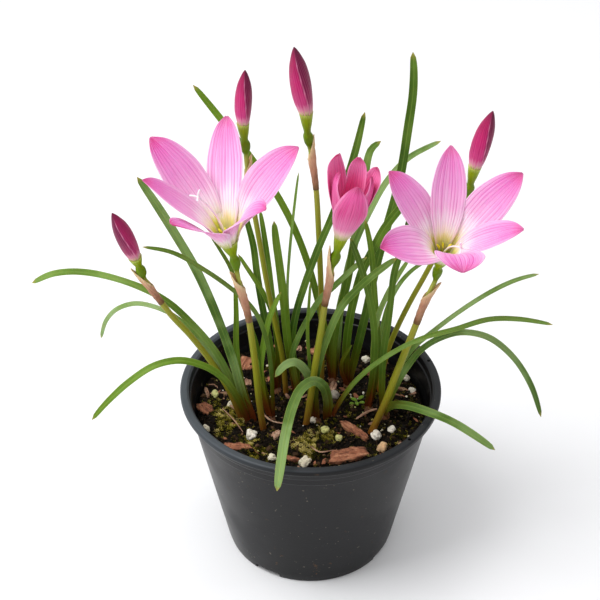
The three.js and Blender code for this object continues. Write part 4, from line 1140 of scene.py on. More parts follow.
def stemParts(stem):
    size, radius = stemSize, stem["radius"]
    places = leaningPath(stem["via"], stem["lean"])
    top = places[-1]
    ovary = seenAt(stem["ovary"], top.y - 0.2 * stem["reach"])
    mouth = seenAt(stem["mouth"], top.y - stem["reach"])
    foot = places[0].lerp(places[1], -size["foot"] / (places[1] - places[0]).length)
    way = smoothWay([foot, *places, ovary, mouth])
    length, half = way["length"], size["ovaryHalf"]
    sheath, pedicel, at = [nearestRun(way, place) for place in (places[stem["sheath"]], top, ovary)]
    widths = [
        (0, radius),
        (sheath, radius * (1 - size["taper"])),
        (sheath + size["step"], size["pedicel"]),
        (pedicel, size["pedicel"]),
        (at - half, size["ovary"] * 0.9),
        (at + half, size["ovary"] * 0.95),
        (at + 3 * half, size["neck"]),
        ((at + length) / 2 + 1.5, (size["neck"] + stem["mouthRadius"]) / 2),
        (length, stem["mouthRadius"]),
    ]
    return {
        "way": way, "widths": widths, "sheath": sheath, "pedicel": pedicel, "ovary": at, "length": length,
        "mouth": mouth, "mouthRadius": stem["mouthRadius"], "axis": (mouth - ovary).normalized(),
    }


def zoneAt(parts, run):
    # 0 to 1 along the scape, to 2 along the pedicel, to 3 from there to the mouth
    stops = [(0, 0), (parts["sheath"], 1), (parts["pedicel"], 2), (parts["length"], 3)]
    for (low, a), (high, b) in zip(stops, stops[1:]):
        if run <= high:
            return lerp(a, b, (run - low) / (high - low))
    return 3


def carried(way, runs, side=rightWay):
    # the middle, heading, side and other side at each run, carried along the way without twist
    for run in runs:
        middle, heading = placeOn(way, run), headingOn(way, run)
        side = (side - heading * side.dot(heading)).normalized()
        yield run, middle, heading, side, heading.cross(side)


def ringsAlong(way, runs, radiusAt, sides, side=rightWay):
    # radiusAt takes the run and the angle
    return [[middle + armAt(turn, side, other) * radiusAt(run, turn) for turn in turnsOf(sides)]
            for run, middle, heading, side, other in carried(way, runs, side)]


def ringColumns(rings):
    # the cosine and sine of every point's angle, for streaks without a seam
    turns = turnsOf(len(rings[0])) * len(rings)
    return {"ringX": [math.cos(turn) for turn in turns], "ringY": [math.sin(turn) for turn in turns]}


def stemHead(stem, parts):
    # the ovary and its tube, with the wall turned back inside an open flower
    size, way, length = stemSize, parts["way"], parts["length"]
    sides, start = size["headSides"], parts["pedicel"] - 2
    runs = [lerp(start, length, share) for share in shares(round((length - start) / size["headStep"]))]

    def outside(run, turn):
        swollen = math.exp(-(((run - parts["ovary"]) / size["ovaryReach"]) ** 2))
        return profileAt(parts["widths"], run) * (1 + size["ovaryLobes"] * swollen * math.cos(3 * turn))

    rings = ringsAlong(way, runs, outside, sides)
    zones = [zoneAt(parts, run) for run in runs]
    if "bud" not in stem:
        mouth, depth = stem["mouthRadius"], size["throatDepth"]
        throat = [(0, mouth - size["wall"]), (depth * 0.5, mouth * 0.55), (depth, size["throatEnd"])]
        inside = [length - depth * share for share in shares(size["throatRings"])]
        rings += ringsAlong(way, inside, lambda run, turn: profileAt(throat, length - run), sides)
        zones += [3 + share for share in shares(size["throatRings"])]
    shape = newShape("ringX", "ringY", "zone", "rise")
    far = [200] * (len(rings) * sides)
    addRings(shape, rings, zone=spreadOver(zones, sides), rise=far, **ringColumns(rings))
    return pieceOf("head", shape, stemGreen)


def makeStem(stem, parts):
    size, sheath, end = stemSize, parts["sheath"], parts["pedicel"] - 1
    runs = [end * share for share in shares(round(end / size["station"]))]
    runs = sorted({*runs, sheath, sheath + size["step"]})
    chain = tubeWay(
        [placeOn(parts["way"], run) for run in runs], [profileAt(parts["widths"], run) for run in runs],
        zone=[zoneAt(parts, run) for run in runs], rise=[run - size["foot"] for run in runs],
    )
    scape = grown("scape", [chain], tubes, Sides=size["sides"], Lobes=0.0, Material=stemGreen)
    whole = joined("stem_" + stem["name"], [scape, stemHead(stem, parts)])
    settle(whole, "flower_stem", "flower_stem_" + stem["name"])


# sheaths: a thin papery sleeve round each pedicel, split open into a tongue
sheathSize = {
    "wall": 0.28, "gap": 0.3, "footGap": 0.14, "tongue": 7, "drop": 6.5, "slit": 4, "rings": 44, "sides": 40,
    "wrinkle": 0.22, "wrinkleSize": 2.2,
}


def makeSheath(stem, parts):
    # tight round the pedicel, cut open aslant at its top and drawn out there into a tongue
    size, way, seed = sheathSize, parts["way"], int(stem["name"])
    start, end = parts["sheath"] - 0.6, parts["pedicel"] - stem.get("drop", size["drop"])
    foot, top = parts["widths"][1][1] + size["footGap"], stemSize["pedicel"] + size["gap"] + 0.55
    tongue, tongueTurn = stem.get("tongue", size["tongue"]), math.radians(stem.get("tongueTurn", 0))
    steps = shares(size["rings"])
    firstSide = headingOn(way, start).cross(towardEye).normalized()
    frames = carried(way, [lerp(start, end, step) for step in steps], firstSide)
    outer, inner = [], []
    for step, (run, middle, heading, side, other) in zip(steps, frames):
        outer.append([])
        inner.append([])
        for turn in turnsOf(size["sides"]):
            arm = armAt(turn, side, other)
            near = (1 + math.cos(turn - tongueTurn)) / 2
            reach = lerp(foot, top, ease(step)) + 1.1 * step**4 * near
            lift = (tongue * near**2.5 - size["slit"] * (1 - near) ** 3) * step**3
            place = middle + heading * lift + arm * reach
            crease = roughOf(Vector((math.cos(turn) * 3, math.sin(turn) * 3, run * 0.35)), 1.0, seed)
            fine = roughOf(place, size["wrinkleSize"], seed)
            shift = size["wrinkle"] * (crease + 0.8 * fine) * ease(step * 5) * (0.6 + step)
            outer[-1].append(place + arm * shift)
            inner[-1].append(place + arm * (shift - size["wall"]))
    rings = outer + inner[::-1] + outer[:1]
    along = spreadOver(steps + steps[::-1] + [0], size["sides"])
    shape = newShape("along", "ringX", "ringY")
    addRings(shape, rings, caps=False, along=along, **ringColumns(rings))
    piece = pointOut(pieceOf("sheath_wrap_" + stem["name"], shape, sheathPaper), weld=0.0005)
    settle(piece, "sheath", "sheath_" + stem["name"])


# buds: three outer tepals furled round each other, with a ridge along each lap
budSize = {
    "outline": [
        (0, 0.66), (0.143, 0.86), (0.286, 0.97), (0.429, 1), (0.571, 0.95), (0.714, 0.8), (0.857, 0.5),
        (0.95, 0.24), (1, 0.04),
    ],
    "lobes": 0.06, "ridge": 0.05, "ridgeWidth": 0.16, "wind": 2, "rings": 72, "sides": 48,
}


def makeBud(stem, parts):
    size, bud, axis = budSize, stem["bud"], parts["axis"]
    base = parts["mouth"] - axis * 0.6
    tip = seenAt(bud["tip"], parts["mouth"].y - 0.6 * stem["reach"])
    middle = base.lerp(tip, 0.45) + axis * 1.5
    way = smoothWay([bezier([base, middle, tip], share) for share in shares(24)], 4)
    length = way["length"]
    runs = [length * ease(share) ** 0.9 for share in shares(size["rings"])]

    def reach(run, turn):
        share, swell = run / length, ease(run / length * 4)
        wound = 3 * turn + size["wind"] * share
        toRidge = abs((wound + math.pi) % fullTurn - math.pi) / 3
        crest = math.exp(-((toRidge / size["ridgeWidth"]) ** 2))
        lobes = 1 + (size["lobes"] * math.cos(wound) + size["ridge"] * crest) * swell
        return bud["radius"] * profileAt(size["outline"], share) * lobes

    rings = ringsAlong(way, runs, reach, size["sides"], axis.cross(backWay).normalized())
    laps = [(turn + size["wind"] * run / length / 3) / (fullTurn / 3)
            for run in runs for turn in turnsOf(size["sides"])]
    shape = newShape("along", "tone", "lap", "toRidge")
    addRings(
        shape, rings, along=spreadOver([run / length for run in runs], size["sides"]),
        tone=[bud["maroonAndShade"][math.floor(lap) % 3] for lap in laps], lap=[lap % 1 for lap in laps],
        toRidge=[min(lap % 1, 1 - lap % 1) for lap in laps],
    )
    settle(pieceOf("furled_bud_" + stem["name"], shape, budSatin), "bud", "bud_" + stem["name"])


# open flowers: six tepals on the mouth of the tube, the inner three above the outer three
tepalSize = {
    "stations": 22, "across": 16, "thickness": 0.42, "flare": 0.32, "fold": 0.4, "evenness": 0.85, "seed": 11,
    "outline": [
        (0, 0.3), (0.12, 0.5), (0.25, 0.74), (0.42, 0.96), (0.56, 1), (0.75, 0.82), (0.9, 0.48), (1, 0.04),
    ],
    "hollow": [(0, 0.4), (0.3, 0.2), (0.7, 0.13), (1, 0.3)],
    "midrib": 0.35, "midribWidth": 0.11, "pleats": 5, "pleatDepth": 0.09, "edgeWave": 0.5,
    "clawDrop": 1, "tuckClaw": 0.38, "tuckRing": 0.06, "tuckLift": 0.35,
}


def clawSides(bloom, parts):
    # the tips, and the directions in which the claws stand: nearly even round the mouth of the tube
    mouth, axis = parts["mouth"], parts["axis"]
    side = axis.cross(rightWay).normalized()
    other = axis.cross(side)
    ends = [seenFrom(tepal["tip"], mouth, tepal["length"], tepal.get("far", False))
            for tepal in bloom["tepals"]]
    turns = [math.atan2((end - mouth).dot(other), (end - mouth).dot(side)) for end in ends]
    order = sorted(range(len(ends)), key=lambda k: turns[k])
    step = fullTurn / len(ends)
    start = sum(turns[k] - step * i for i, k in enumerate(order)) / len(ends)
    evened = [lerp(turn, start + step * order.index(k), tepalSize["evenness"]) for k, turn in enumerate(turns)]
    return [(end, armAt(turn, side, other)) for end, turn in zip(ends, evened)]


def tepalMiddle(bloom, tepal, parts, end, clawSide):
    # the four places that steer a tepal's middle line
    size, mouth, axis = tepalSize, parts["mouth"], parts["axis"]
    chord = end - mouth
    length = chord.length
    outward = (chord - axis * chord.dot(axis)).normalized()
    claw = parts["mouthRadius"] - size["tuckClaw"] * tepal.get("tuck", 0)
    base = mouth + clawSide * claw - axis * size["clawDrop"]
    rise = tepal.get("rise", bloom["rise"]) * length
    knee = base + axis * (rise + size["clawDrop"]) + clawSide * (size["flare"] * rise)
    arch = axis * (tepal.get("arch", 0.12) * length) + outward * (tepal.get("bow", 0) * length)
    return [base, knee, mouth + chord * 0.66 + arch, end]


def addTepal(shape, bloom, tepal, parts, end, clawSide, dice):
    # wrapped round the flower's axis at its foot, where the six form a funnel, and free above
    size, mouth, axis = tepalSize, parts["mouth"], parts["axis"]
    controls = tepalMiddle(bloom, tepal, parts, end, clawSide)
    phase, tone = dice.uniform(0, fullTurn), tepal.get("pale", dice.uniform(0, 0.5))
    twist, tuck = dice.uniform(-0.1, 0.1), tepal.get("tuck", 0)
    stations, vs = shares(size["stations"]), [2 * share - 1 for share in shares(size["across"])]
    rows = []
    for share in stations:
        middle = bezier(controls, share)
        forward = (bezier(controls, share + 0.01) - bezier(controls, share - 0.01)).normalized()
        foot = mouth + axis * (middle - mouth).dot(axis)
        away = (middle - foot).normalized()
        ring = (middle - foot).length * (1 - size["tuckRing"] * tuck)
        inside = (axis - away).normalized().lerp(towardEye, tepal.get("face", 0) * ease(share * 2))
        normal = (inside - forward * inside.dot(forward)).normalized()
        side, tangent = forward.cross(normal), away.cross(axis)
        half = tepal.get("width", bloom["width"]) / 2
        half *= profileAt(bloom.get("outline", size["outline"]), share ** tepal.get("blunt", 1))
        hollow, bulge = half * profileAt(size["hollow"], share), math.sin(math.pi * share)
        lift = size["tuckLift"] * tuck * math.sin(math.pi * clamp(share * 1.6))
        wrap = 1 - ease((share - bloom["cup"]) / size["fold"])
        rows.append([])
        for v in vs:
            relief = size["pleatDepth"] * math.cos(v * math.pi * size["pleats"]) * bulge
            relief -= size["midrib"] * math.exp(-((v / size["midribWidth"]) ** 2)) * (1 - 0.7 * share)
            wave = size["edgeWave"] * v * abs(v) * math.sin(phase + 7 * share + 1.5 * v) * share
            height = hollow * v * v + lift + relief + wave + twist * v * half * share
            free = middle + side * (v * half) + normal * height
            wrapped = foot + armAt(v * half / ring, away, tangent) * (ring - relief)
            rows[-1].append(free.lerp(wrapped, wrap))
    across = vs * len(rows)
    values = {"along": spreadOver(stations, len(vs)), "across": across, "tone": [tone] * len(across)}
    addRings(shape, rows, closed=False, caps=False, **values)


def makeFlower(bloom, parts, materials):
    size, name = tepalSize, bloom["stem"]
    dice = random.Random(size["seed"] + int(name))
    shape = newShape("along", "across", "tone")
    for tepal, (end, clawSide) in zip(bloom["tepals"], clawSides(bloom, parts)):
        addTepal(shape, bloom, tepal, parts, end, clawSide, dice)
    sides = {"offset": 0, "use_even_offset": False, "material_offset": 1, "material_offset_rim": 0}
    piece = walled(pieceOf("petals_" + name, shape, *materials), size["thickness"], **sides)
    settle(piece, "tepal", "flower_" + name)


# stamens: six filaments with their anthers round a style that ends in three lobes
stamenSize = {
    "filament": 0.32, "shorter": 0.82, "antherLength": 3, "anther": 0.5, "style": 0.38, "lobe": 3, "floor": 2.4,
    "sides": 10,
}


def makeStamens(bloom, parts):
    size, mouth, axis = stamenSize, parts["mouth"], parts["axis"]
    floor = mouth - axis * size["floor"]
    side = axis.cross(rightWay).normalized()
    other = axis.cross(side)

    def around(turn, r, h):
        return floor + axis * h + armAt(turn, side, other) * r

    def thread(controls, radii):
        return tubeWay([bezier(controls, share) for share in shares(len(radii) - 1)], radii)

    reach, spread = bloom["stamens"]["reach"] + size["floor"] + 1, bloom["stamens"]["spread"]
    dice = random.Random(int(bloom["stem"]))
    threads, anthers = [], []
    for k in range(6):
        turn = fullTurn * k / 6 + dice.uniform(-0.15, 0.15)
        tall = reach * (1 if k % 2 else size["shorter"])
        controls = [around(turn, 1, 0), around(turn, spread * 0.5, tall * 0.5), around(turn, spread, tall)]
        threads.append(thread(controls, [size["filament"] * lerp(1.1, 0.6, share) for share in shares(12)]))
        top = threads[-1]["points"][-1]
        lean = (axis * 0.75 + (top - around(turn, 0, tall)).normalized() * 0.6).normalized()
        points = [top + lean * (size["antherLength"] * (share - 0.45)) for share in shares(10)]
        plump = [size["anther"] * math.sqrt(max(1 - (2 * share - 1) ** 2, 0.02)) for share in shares(10)]
        anthers.append(tubeWay(points, plump))
    style = bloom["style"]
    tip = seenFrom(style["tip"], mouth, style["length"])
    bend = floor + axis * (0.5 * style["length"] + size["floor"])
    pale = [thread([floor, bend, tip], [size["style"]] * 21)]
    end = (pale[0]["points"][-1] - pale[0]["points"][-2]).normalized()
    for turn in turnsOf(3):
        out = Matrix.Rotation(turn, 3, end) @ end.cross(towardEye).normalized()
        bent = tip + (end * 0.5 + out * 0.3) * size["lobe"]
        controls = [tip - end * 0.6, bent, tip + (end * 0.6 + out) * size["lobe"]]
        pale.append(thread(controls, [size["style"] * lerp(1, 1.2, ease(share)) for share in shares(8)]))
    kinds = ((threads, 0.0, filamentGold), (anthers, 0.12, pollen), (pale, 0.0, styleWhite))
    made = [grown("threads", ways, tubes, Sides=size["sides"], Lobes=lobes, Material=material)
            for ways, lobes, material in kinds]
    settle(joined("stamen_group_" + bloom["stem"], made), "stamen", "stamens_" + bloom["stem"])


def makeFlowers():
    parts = {stem["name"]: stemParts(stem) for stem in stems}
    for stem in stems:
        makeStem(stem, parts[stem["name"]])
        makeSheath(stem, parts[stem["name"]])
        if "bud" in stem:
            makeBud(stem, parts[stem["name"]])
    for bloom in blooms:
        makeFlower(bloom, parts[bloom["stem"]], tepalFinishes[bloom["stem"]])
        makeStamens(bloom, parts[bloom["stem"]])
    print("flower stems:", len(stems), "open flowers:", len(blooms))


# the pot: turned wall with a stacking band, a stepped lip and drain notches at its foot
potSize = {
    "rimRadius": 65, "height": 96, "baseRadius": 43, "wall": 1.4, "lipWidth": 4.2, "lipDrop": 3.5,
    "bandDrop": 13.5, "bandStep": 0.5, "sides": 192, "sharpAngle": 32,
    "notches": 4, "notchFirst": -121, "notchTurn": 19, "notchHeight": 3.2, "notchDepth": 7,
    "lipHoles": [-42, 17], "lipHole": 0.9,
}


def wallRadius(z):
    top = potSize["rimRadius"] - potSize["lipWidth"] + potSize["wall"] - potSize["bandStep"]
    return lerp(potSize["baseRadius"], top, z / (potSize["height"] - potSize["lipDrop"]))


def roundedProfile(corners, steps=4):
    # a profile of radius and height whose corners are rounded, each by its own size
    points = []
    for i, (r, z, size) in enumerate(corners):
        here = Vector((r, z, 0))
        if not size:
            points.append(here)
            continue
        around = [Vector((*corners[k % len(corners)][:2], 0)) for k in (i - 1, i + 1)]
        start, end = [here + (place - here).normalized() * size for place in around]
        points += [bezier([start, here, end], share) for share in shares(steps)]
    return [(point.x, point.y) for point in points]


def turnedShape(profile, sides):
    # a closed profile turned round the pot's axis; points on the axis become poles
    shape, rows = newShape(), []
    for r, z in profile:
        first, count = len(shape["points"]), sides if r else 1
        shape["points"] += [Vector((r * math.cos(turn), r * math.sin(turn), z)) for turn in turnsOf(count)]
        rows.append([first + j % count for j in range(sides)])
    for low, high in zip(rows, rows[1:]):
        for j in range(sides):
            k = (j + 1) % sides
            shape["faces"].append(tuple(dict.fromkeys((low[j], low[k], high[k], high[j]))))
    return shape


def cutterOf(rings):
    cutter = newShape()
    addRings(cutter, rings)
    return pointOut(pieceOf("cutter", cutter))


def notchCutter(number):
    size = potSize
    middle = math.radians(size["notchFirst"] + 360 / size["notches"] * number)
    half = math.radians(size["notchTurn"] / 2)
    inside, outside = size["baseRadius"] - size["notchDepth"], size["baseRadius"] + 4

    def corner(r, share, z):
        turn = middle + half * share
        return Vector((r * math.sin(turn), -r * math.cos(turn), z))

    rings = []
    for z, narrow in ((-1, 1), (size["notchHeight"] * 0.7, 1), (size["notchHeight"], 0.85)):
        places = [narrow * (2 * share - 1) for share in shares(8)]
        rings.append([corner(inside, s, z) for s in places[::-1]] + [corner(outside, s, z) for s in places])
    return cutterOf(rings)


def holeCutter(degrees):
    size = potSize
    middle = armAt(math.radians(degrees)) * (size["rimRadius"] - size["lipWidth"] / 2) + upWay * size["height"]
    arms = [armAt(turn) * size["lipHole"] for turn in turnsOf(12)]
    return cutterOf([[middle + arm + upWay * z for arm in arms] for z in (-6, 2)])


def makePot():
    size = potSize
    rim, height, wall, foot = size["rimRadius"], size["height"], size["wall"], size["baseRadius"]
    lipFoot, bandFoot, inner = height - size["lipDrop"], height - size["bandDrop"], rim - size["lipWidth"]
    band = wallRadius(bandFoot) + size["bandStep"]
    corners = [
        (0, 0.6, 0),
        (foot - 5, 0.6, 0.4),
        (foot - 5.6, 0, 0.3),
        (foot - 0.3, 0, 1),
        *[(wallRadius(z), z, 0) for z in (4, 6, 10, 40)],
        (wallRadius(bandFoot), bandFoot, 0.3),
        (band, bandFoot + 0.5, 0.3),
        (band + 0.65, lipFoot - 5.6, 0.2),
        (band + 1.0, lipFoot - 5.1, 0.3),
        (inner + wall, lipFoot, 0.4),
        (rim - 0.4, lipFoot, 0.35),
        (rim, lipFoot + 0.8, 0.4),
        (rim, height - 0.7, 0.5),
        (rim - 0.7, height, 0.4),
        (inner + 0.9, height, 0.35),
        (inner + 0.5, height - 0.6, 0.3),
        (inner - 0.1, height - 0.9, 0.3),
        (inner - 0.3, lipFoot - 1, 0.3),
        (inner - 1.1, lipFoot - 1.6, 0.3),
        (band - wall, bandFoot + 0.5, 0.4),
        (wallRadius(bandFoot) - wall, bandFoot - 0.8, 0.4),
        *[(wallRadius(z) - wall, z, 0) for z in (40, 10, 6, 4)],
        (foot - wall, wall, 1),
        (0, wall, 0),
    ]
    piece = pointOut(pieceOf("nursery_pot", turnedShape(roundedProfile(corners), size["sides"]), potPlastic))
    cutters = [notchCutter(number) for number in range(size["notches"])]
    cutter = joined("cutters", cutters + [holeCutter(degrees) for degrees in size["lipHoles"]])
    cut = piece.modifiers.new("cut", "BOOLEAN")
    cut.operation, cut.solver, cut.object = "DIFFERENCE", "EXACT", cutter
    keepMade(piece, cut).data.set_sharp_from_angle(angle=math.radians(size["sharpAngle"]))
    bpy.data.objects.remove(cutter)
    settle(piece, "pot_plastic", "pot")
    print("pot made")


# the potting mix: a rough mass with crumbs, shards of bark, perlite and moss on it
mixSize = {
    "relief": 0.7, "rough": 1.7, "floorGap": 0.3, "wallGap": 0.4, "rings": 60, "sides": 168, "lumpy": 0.7,
    "edge": soilLevel - 4,
}
# what lies loose on the mix: how many, how long in millimetres, how much longer than wide, how flat,
# and the range of tones that its finish reads
crumbSize = {"count": 1700, "size": 1.5, "long": (0.8, 1.8), "flat": (0.5, 1), "tones": (0, 0.85), "seed": 3}
fineSize = {"count": 900, "size": 0.8, "long": (0.8, 1.5), "flat": (0.5, 1), "tones": (0.1, 1), "seed": 4}
shardSize = {"count": 48, "size": 1.8, "long": (1.6, 3.2), "flat": (0.18, 0.36), "tones": (0.2, 1), "seed": 21}
paleShardSize = {"count": 46, "size": 1.7, "long": (1.4, 3), "flat": (0.25, 0.5), "tones": (0, 1), "seed": 6}
gritSize = {"count": 90, "size": 1.0, "long": (0.8, 1.3), "flat": (0.7, 1), "tones": (0, 0.8), "seed": 9}


def mixTop(x, y):
    waves = math.sin(0.31 * x + 1) * math.cos(0.27 * y) + 0.6 * math.sin(0.17 * x - 0.43 * y)
    return soilLevel + mixSize["relief"] * waves - 0.0006 * (x * x + y * y)


def mixSurface(x, y):
    place = Vector((x, y, 0))
    rough = roughOf(place, 7, 1) * 0.8 + roughOf(place, 3.1, 2) * 0.55 + roughOf(place, 1.4, 3) * 0.35
    return mixTop(x, y) + mixSize["rough"] * rough


def mixRadius(z):
    return min(wallRadius(z), wallRadius(z - 1)) - potSize["wall"] - mixSize["wallGap"]


def makeMixMass():
    size = mixSize
    floor, edge = potSize["wall"] + size["floorGap"], mixRadius(size["edge"])
    profile = [(0, floor), (mixRadius(floor) - 0.6, floor), (edge, size["edge"] - 1)]
    profile += [(edge * share, soilLevel) for share in shares(size["rings"])[::-1]]
    shape = turnedShape(profile, size["sides"])
    for point in shape["points"]:
        if point.z == soilLevel:
            point.z = mixSurface(point.x, point.y)
    return pointOut(pieceOf("mix_mass", shape, mixDark))


def onPoints(given, instance, **choice):
    # the instance on each point, turned and scaled by the point's own values
    inputs = {"Points": given["Geometry"], "Instance": instance, **choice}
    inputs.update({"Rotation": named("turn", "FLOAT_VECTOR"), "Scale": named("size", "FLOAT_VECTOR")})
    return put("GeometryNodeInstanceOnPoints", inputs)


def crumbTree():
    # puts one of four rough lumps on each point
    given, made = startGeometry("crumbs", Rough="Float", Seed="Int")
    kinds = now["tree"].nodes.new("GeometryNodeJoinGeometry")
    for k in range(4):
        ball = put("GeometryNodeMeshIcoSphere", {"Radius": 0.5, "Subdivisions": 2})
        wander = {"Vector": position(), "W": 3.7 * k, "Scale": 1.8, "Detail": 1.0}
        wander = put("ShaderNodeTexNoise", wander, 1, noise_dimensions="4D")
        wander = vectors("SUBTRACT", {0: wander, 1: (0.5, 0.5, 0.5)})
        wander = vectors("SCALE", {0: wander, "Scale": given["Rough"]})
        ball = put("GeometryNodeSetPosition", {"Geometry": ball, "Offset": wander})
        feed(put("GeometryNodeGeometryToInstance", {0: ball}), kinds.inputs[0])
    which = put("FunctionNodeRandomValue", {"Seed": given["Seed"]}, 2, data_type="INT")
    next(socket for socket in which.node.inputs if socket.identifier == "Max_002").default_value = 3
    lumps = onPoints(given, kinds.outputs[0], **{"Pick Instance": True, "Instance Index": which})
    return finishTree(lumps, given, made)


def mossTree():
    # puts a sprig of tiny pointed leaves on each point
    given, made = startGeometry("moss", Width="Float")
    cone = {"Vertices": 3, "Side Segments": 1, "Fill Segments": 1, "Radius Top": 0.02, "Depth": 1.0}
    leaf = put("GeometryNodeMeshCone", {**cone, "Radius Bottom": given["Width"]})
    leaf = store(leaf, "lift", partsOf(position())["Z"])
    ball = put("GeometryNodeMeshIcoSphere", {"Radius": 0.1, "Subdivisions": 1})
    place = position()
    low = {0: partsOf(place)["Z"], 1: -0.02}
    low = put("FunctionNodeCompare", low, operation="LESS_THAN", data_type="FLOAT")
    ball = put("GeometryNodeDeleteGeometry", {"Geometry": ball, "Selection": low})
    turn = put("FunctionNodeAlignRotationToVector", {"Vector": place}, axis="Z")
    sprig = put("GeometryNodeInstanceOnPoints", {"Points": ball, "Instance": leaf, "Rotation": turn})
    sprig = put("GeometryNodeRealizeInstances", {0: sprig})
    return finishTree(onPoints(given, sprig), given, made)


crumbs = crumbTree()
moss = mossTree()


def tumbled(dice, tilt):
    return Vector((dice.gauss(0, tilt), dice.gauss(0, tilt), dice.uniform(0, fullTurn)))


def scattered(name, look, material):
    dice = random.Random(look["seed"])
    edge = mixRadius(mixSize["edge"]) - 0.8
    row = rowOf("points", "turn", "size", "tone")
    for i in range(look["count"]):
        r, turn = edge * math.sqrt(dice.random()), dice.uniform(0, fullTurn)
        x, y = r * math.cos(turn), r * math.sin(turn)
        size = look["size"] * (0.5 + 1.2 * dice.random() ** 2)
        long, flat = dice.uniform(*look["long"]), dice.uniform(*look["flat"])
        place = Vector((x, y, mixSurface(x, y) + size * flat * 0.3))
        form = Vector((size * long, size, size * flat)) * mm
        addValues(row, place, tumbled(dice, 0.3), form, dice.uniform(*look["tones"]))
    inputs = {"Rough": mixSize["lumpy"], "Seed": look["seed"], "Material": material}
    piece = grown(name, [row], crumbs, loose=True, **inputs)
    piece.data.shade_flat()
    return piece


# cushions of moss, each with its middle and reach in the picture, how many sprigs it has, how pale they are
# and how high the cushion is
mossPatches = [
    ((228, 420), (16, 14), 420, 0.62, 1.8), ((306, 444), (13, 12), 420, 0.7, 2.2),
    ((224, 413), (10, 8), 160, 0.75, 2), ((256, 454), (18, 7), 220, 0.4, 1),
    ((402, 437), (12, 9), 140, 0.35, 0.8), ((326, 432), (14, 11), 200, 0.5, 1),
    ((250, 440), (14, 8), 120, 0.4, 0.6), ((350, 405), (18, 12), 160, 0.3, 0.6),
    ((212, 404), (10, 10), 100, 0.5, 0.8),
    ((290, 390), (36, 24), 300, 0.3, 0.4), ((395, 400), (28, 26), 240, 0.28, 0.4),
    ((310, 452), (76, 12), 420, 0.26, 0.4), ((310, 405), (118, 66), 900, 0.28, 0.3),
]
mossSize = {"size": 1.0, "leafWidth": 0.17, "clump": 4.5, "dome": 3.5, "shade": 1.9, "seed": 14}


def makeMoss():
    size, dice = mossSize, random.Random(mossSize["seed"])
    row = rowOf("points", "turn", "size", "tone")
    for at, reach, count, pale, dome in mossPatches:
        for i in range(count):
            share, turn = math.sqrt(dice.random()), dice.uniform(0, fullTurn)
            ragged = share * (1 + 0.3 * math.sin(3 * turn + at[0]))
            x = at[0] + reach[0] * ragged * math.cos(turn)
            place = onLevel((x, at[1] + reach[1] * ragged * math.sin(turn)))
            clump = roughOf(place, size["clump"], 7)
            if place.xy.length > mixRadius(soilLevel) - 1 or clump < -0.5 * pale:
                continue
            lift = dome * (1 - share**2) * (0.5 + 0.5 * roughOf(place, size["dome"], 5))
            form = Vector([size["size"] * dice.uniform(0.6, 1.4)] * 3) * mm
            on = Vector((*place.xy, mixSurface(*place.xy) + lift))
            shade = 0.9 * roughOf(place, size["shade"], 2)
            addValues(row, on, tumbled(dice, 0.4), form, clamp(pale + shade + dice.gauss(0, 0.16)))
    sprigs = grown("moss", [row], moss, loose=True, Width=size["leafWidth"], Material=mossGreen)
    settle(sprigs, "potting_mix")
    print("sprigs of moss:", len(row["points"]))


# larger perlite grains, each with its place in the picture, its diameter and its tint
perliteGrains = [
    (251, 434, 5.4, 0.1), (215, 394, 3.8, 0.7), (206, 427, 4, 0.3), (231, 404, 3.4, 0.5),
    (305, 462, 5.8, 0.5), (313, 420, 4.4, 0.2), (325, 431, 4.8, 0.72), (376, 435, 5.2, 0.05),
    (392, 430, 4.2, 0.1), (382, 449, 5, 0.9), (412, 391, 4.2, 0), (416, 372, 3.6, 0.2), (366, 360, 4.2, 0.2),
    # the grain at (334, 396) takes the last, grey tint: painted shade
    (334, 396, 4.8, 1), (296, 341, 3.4, 0.3), (272, 457, 3.8, 0.4), (339, 438, 3.4, 0.7),
]
perliteSize = {"fineness": 4, "core": 0.82, "puff": 0.68, "sink": 0.2}


def addLump(shape, middle, radius, seed, tone):
    # a popped grain: a ball with rounded knobs
    ball = bmesh.new()
    bmesh.ops.create_icosphere(ball, subdivisions=perliteSize["fineness"], radius=1)
    first = len(shape["points"])
    for corner in ball.verts:
        knobs = 0.9 * abs(roughOf(corner.co, 1.1, seed)) + 0.25 * abs(roughOf(corner.co, 0.4, seed))
        reach = radius * (perliteSize["core"] + perliteSize["puff"] * knobs)
        shape["points"].append(middle + corner.co * reach)
    shape["faces"] += [tuple(first + corner.index for corner in face.verts) for face in ball.faces]
    shape["values"]["tone"] += [tone] * len(ball.verts)
    ball.free()


def makePerlite():
    shape = newShape("tone")
    for number, (x, y, size, tone) in enumerate(perliteGrains):
        at = onLevel((x, y))
        at *= min(1, (mixRadius(soilLevel - 2) - size / 2) / at.xy.length)
        middle = Vector((*at.xy, mixTop(*at.xy) + perliteSize["sink"] * size))
        addLump(shape, middle, size / 2, number + 1, tone)
    lumps = pointOut(pieceOf("lumps", shape, perliteWhite))
    settle(joined("perlite", [lumps, scattered("grit", gritSize, perliteWhite)]), "potting_mix")


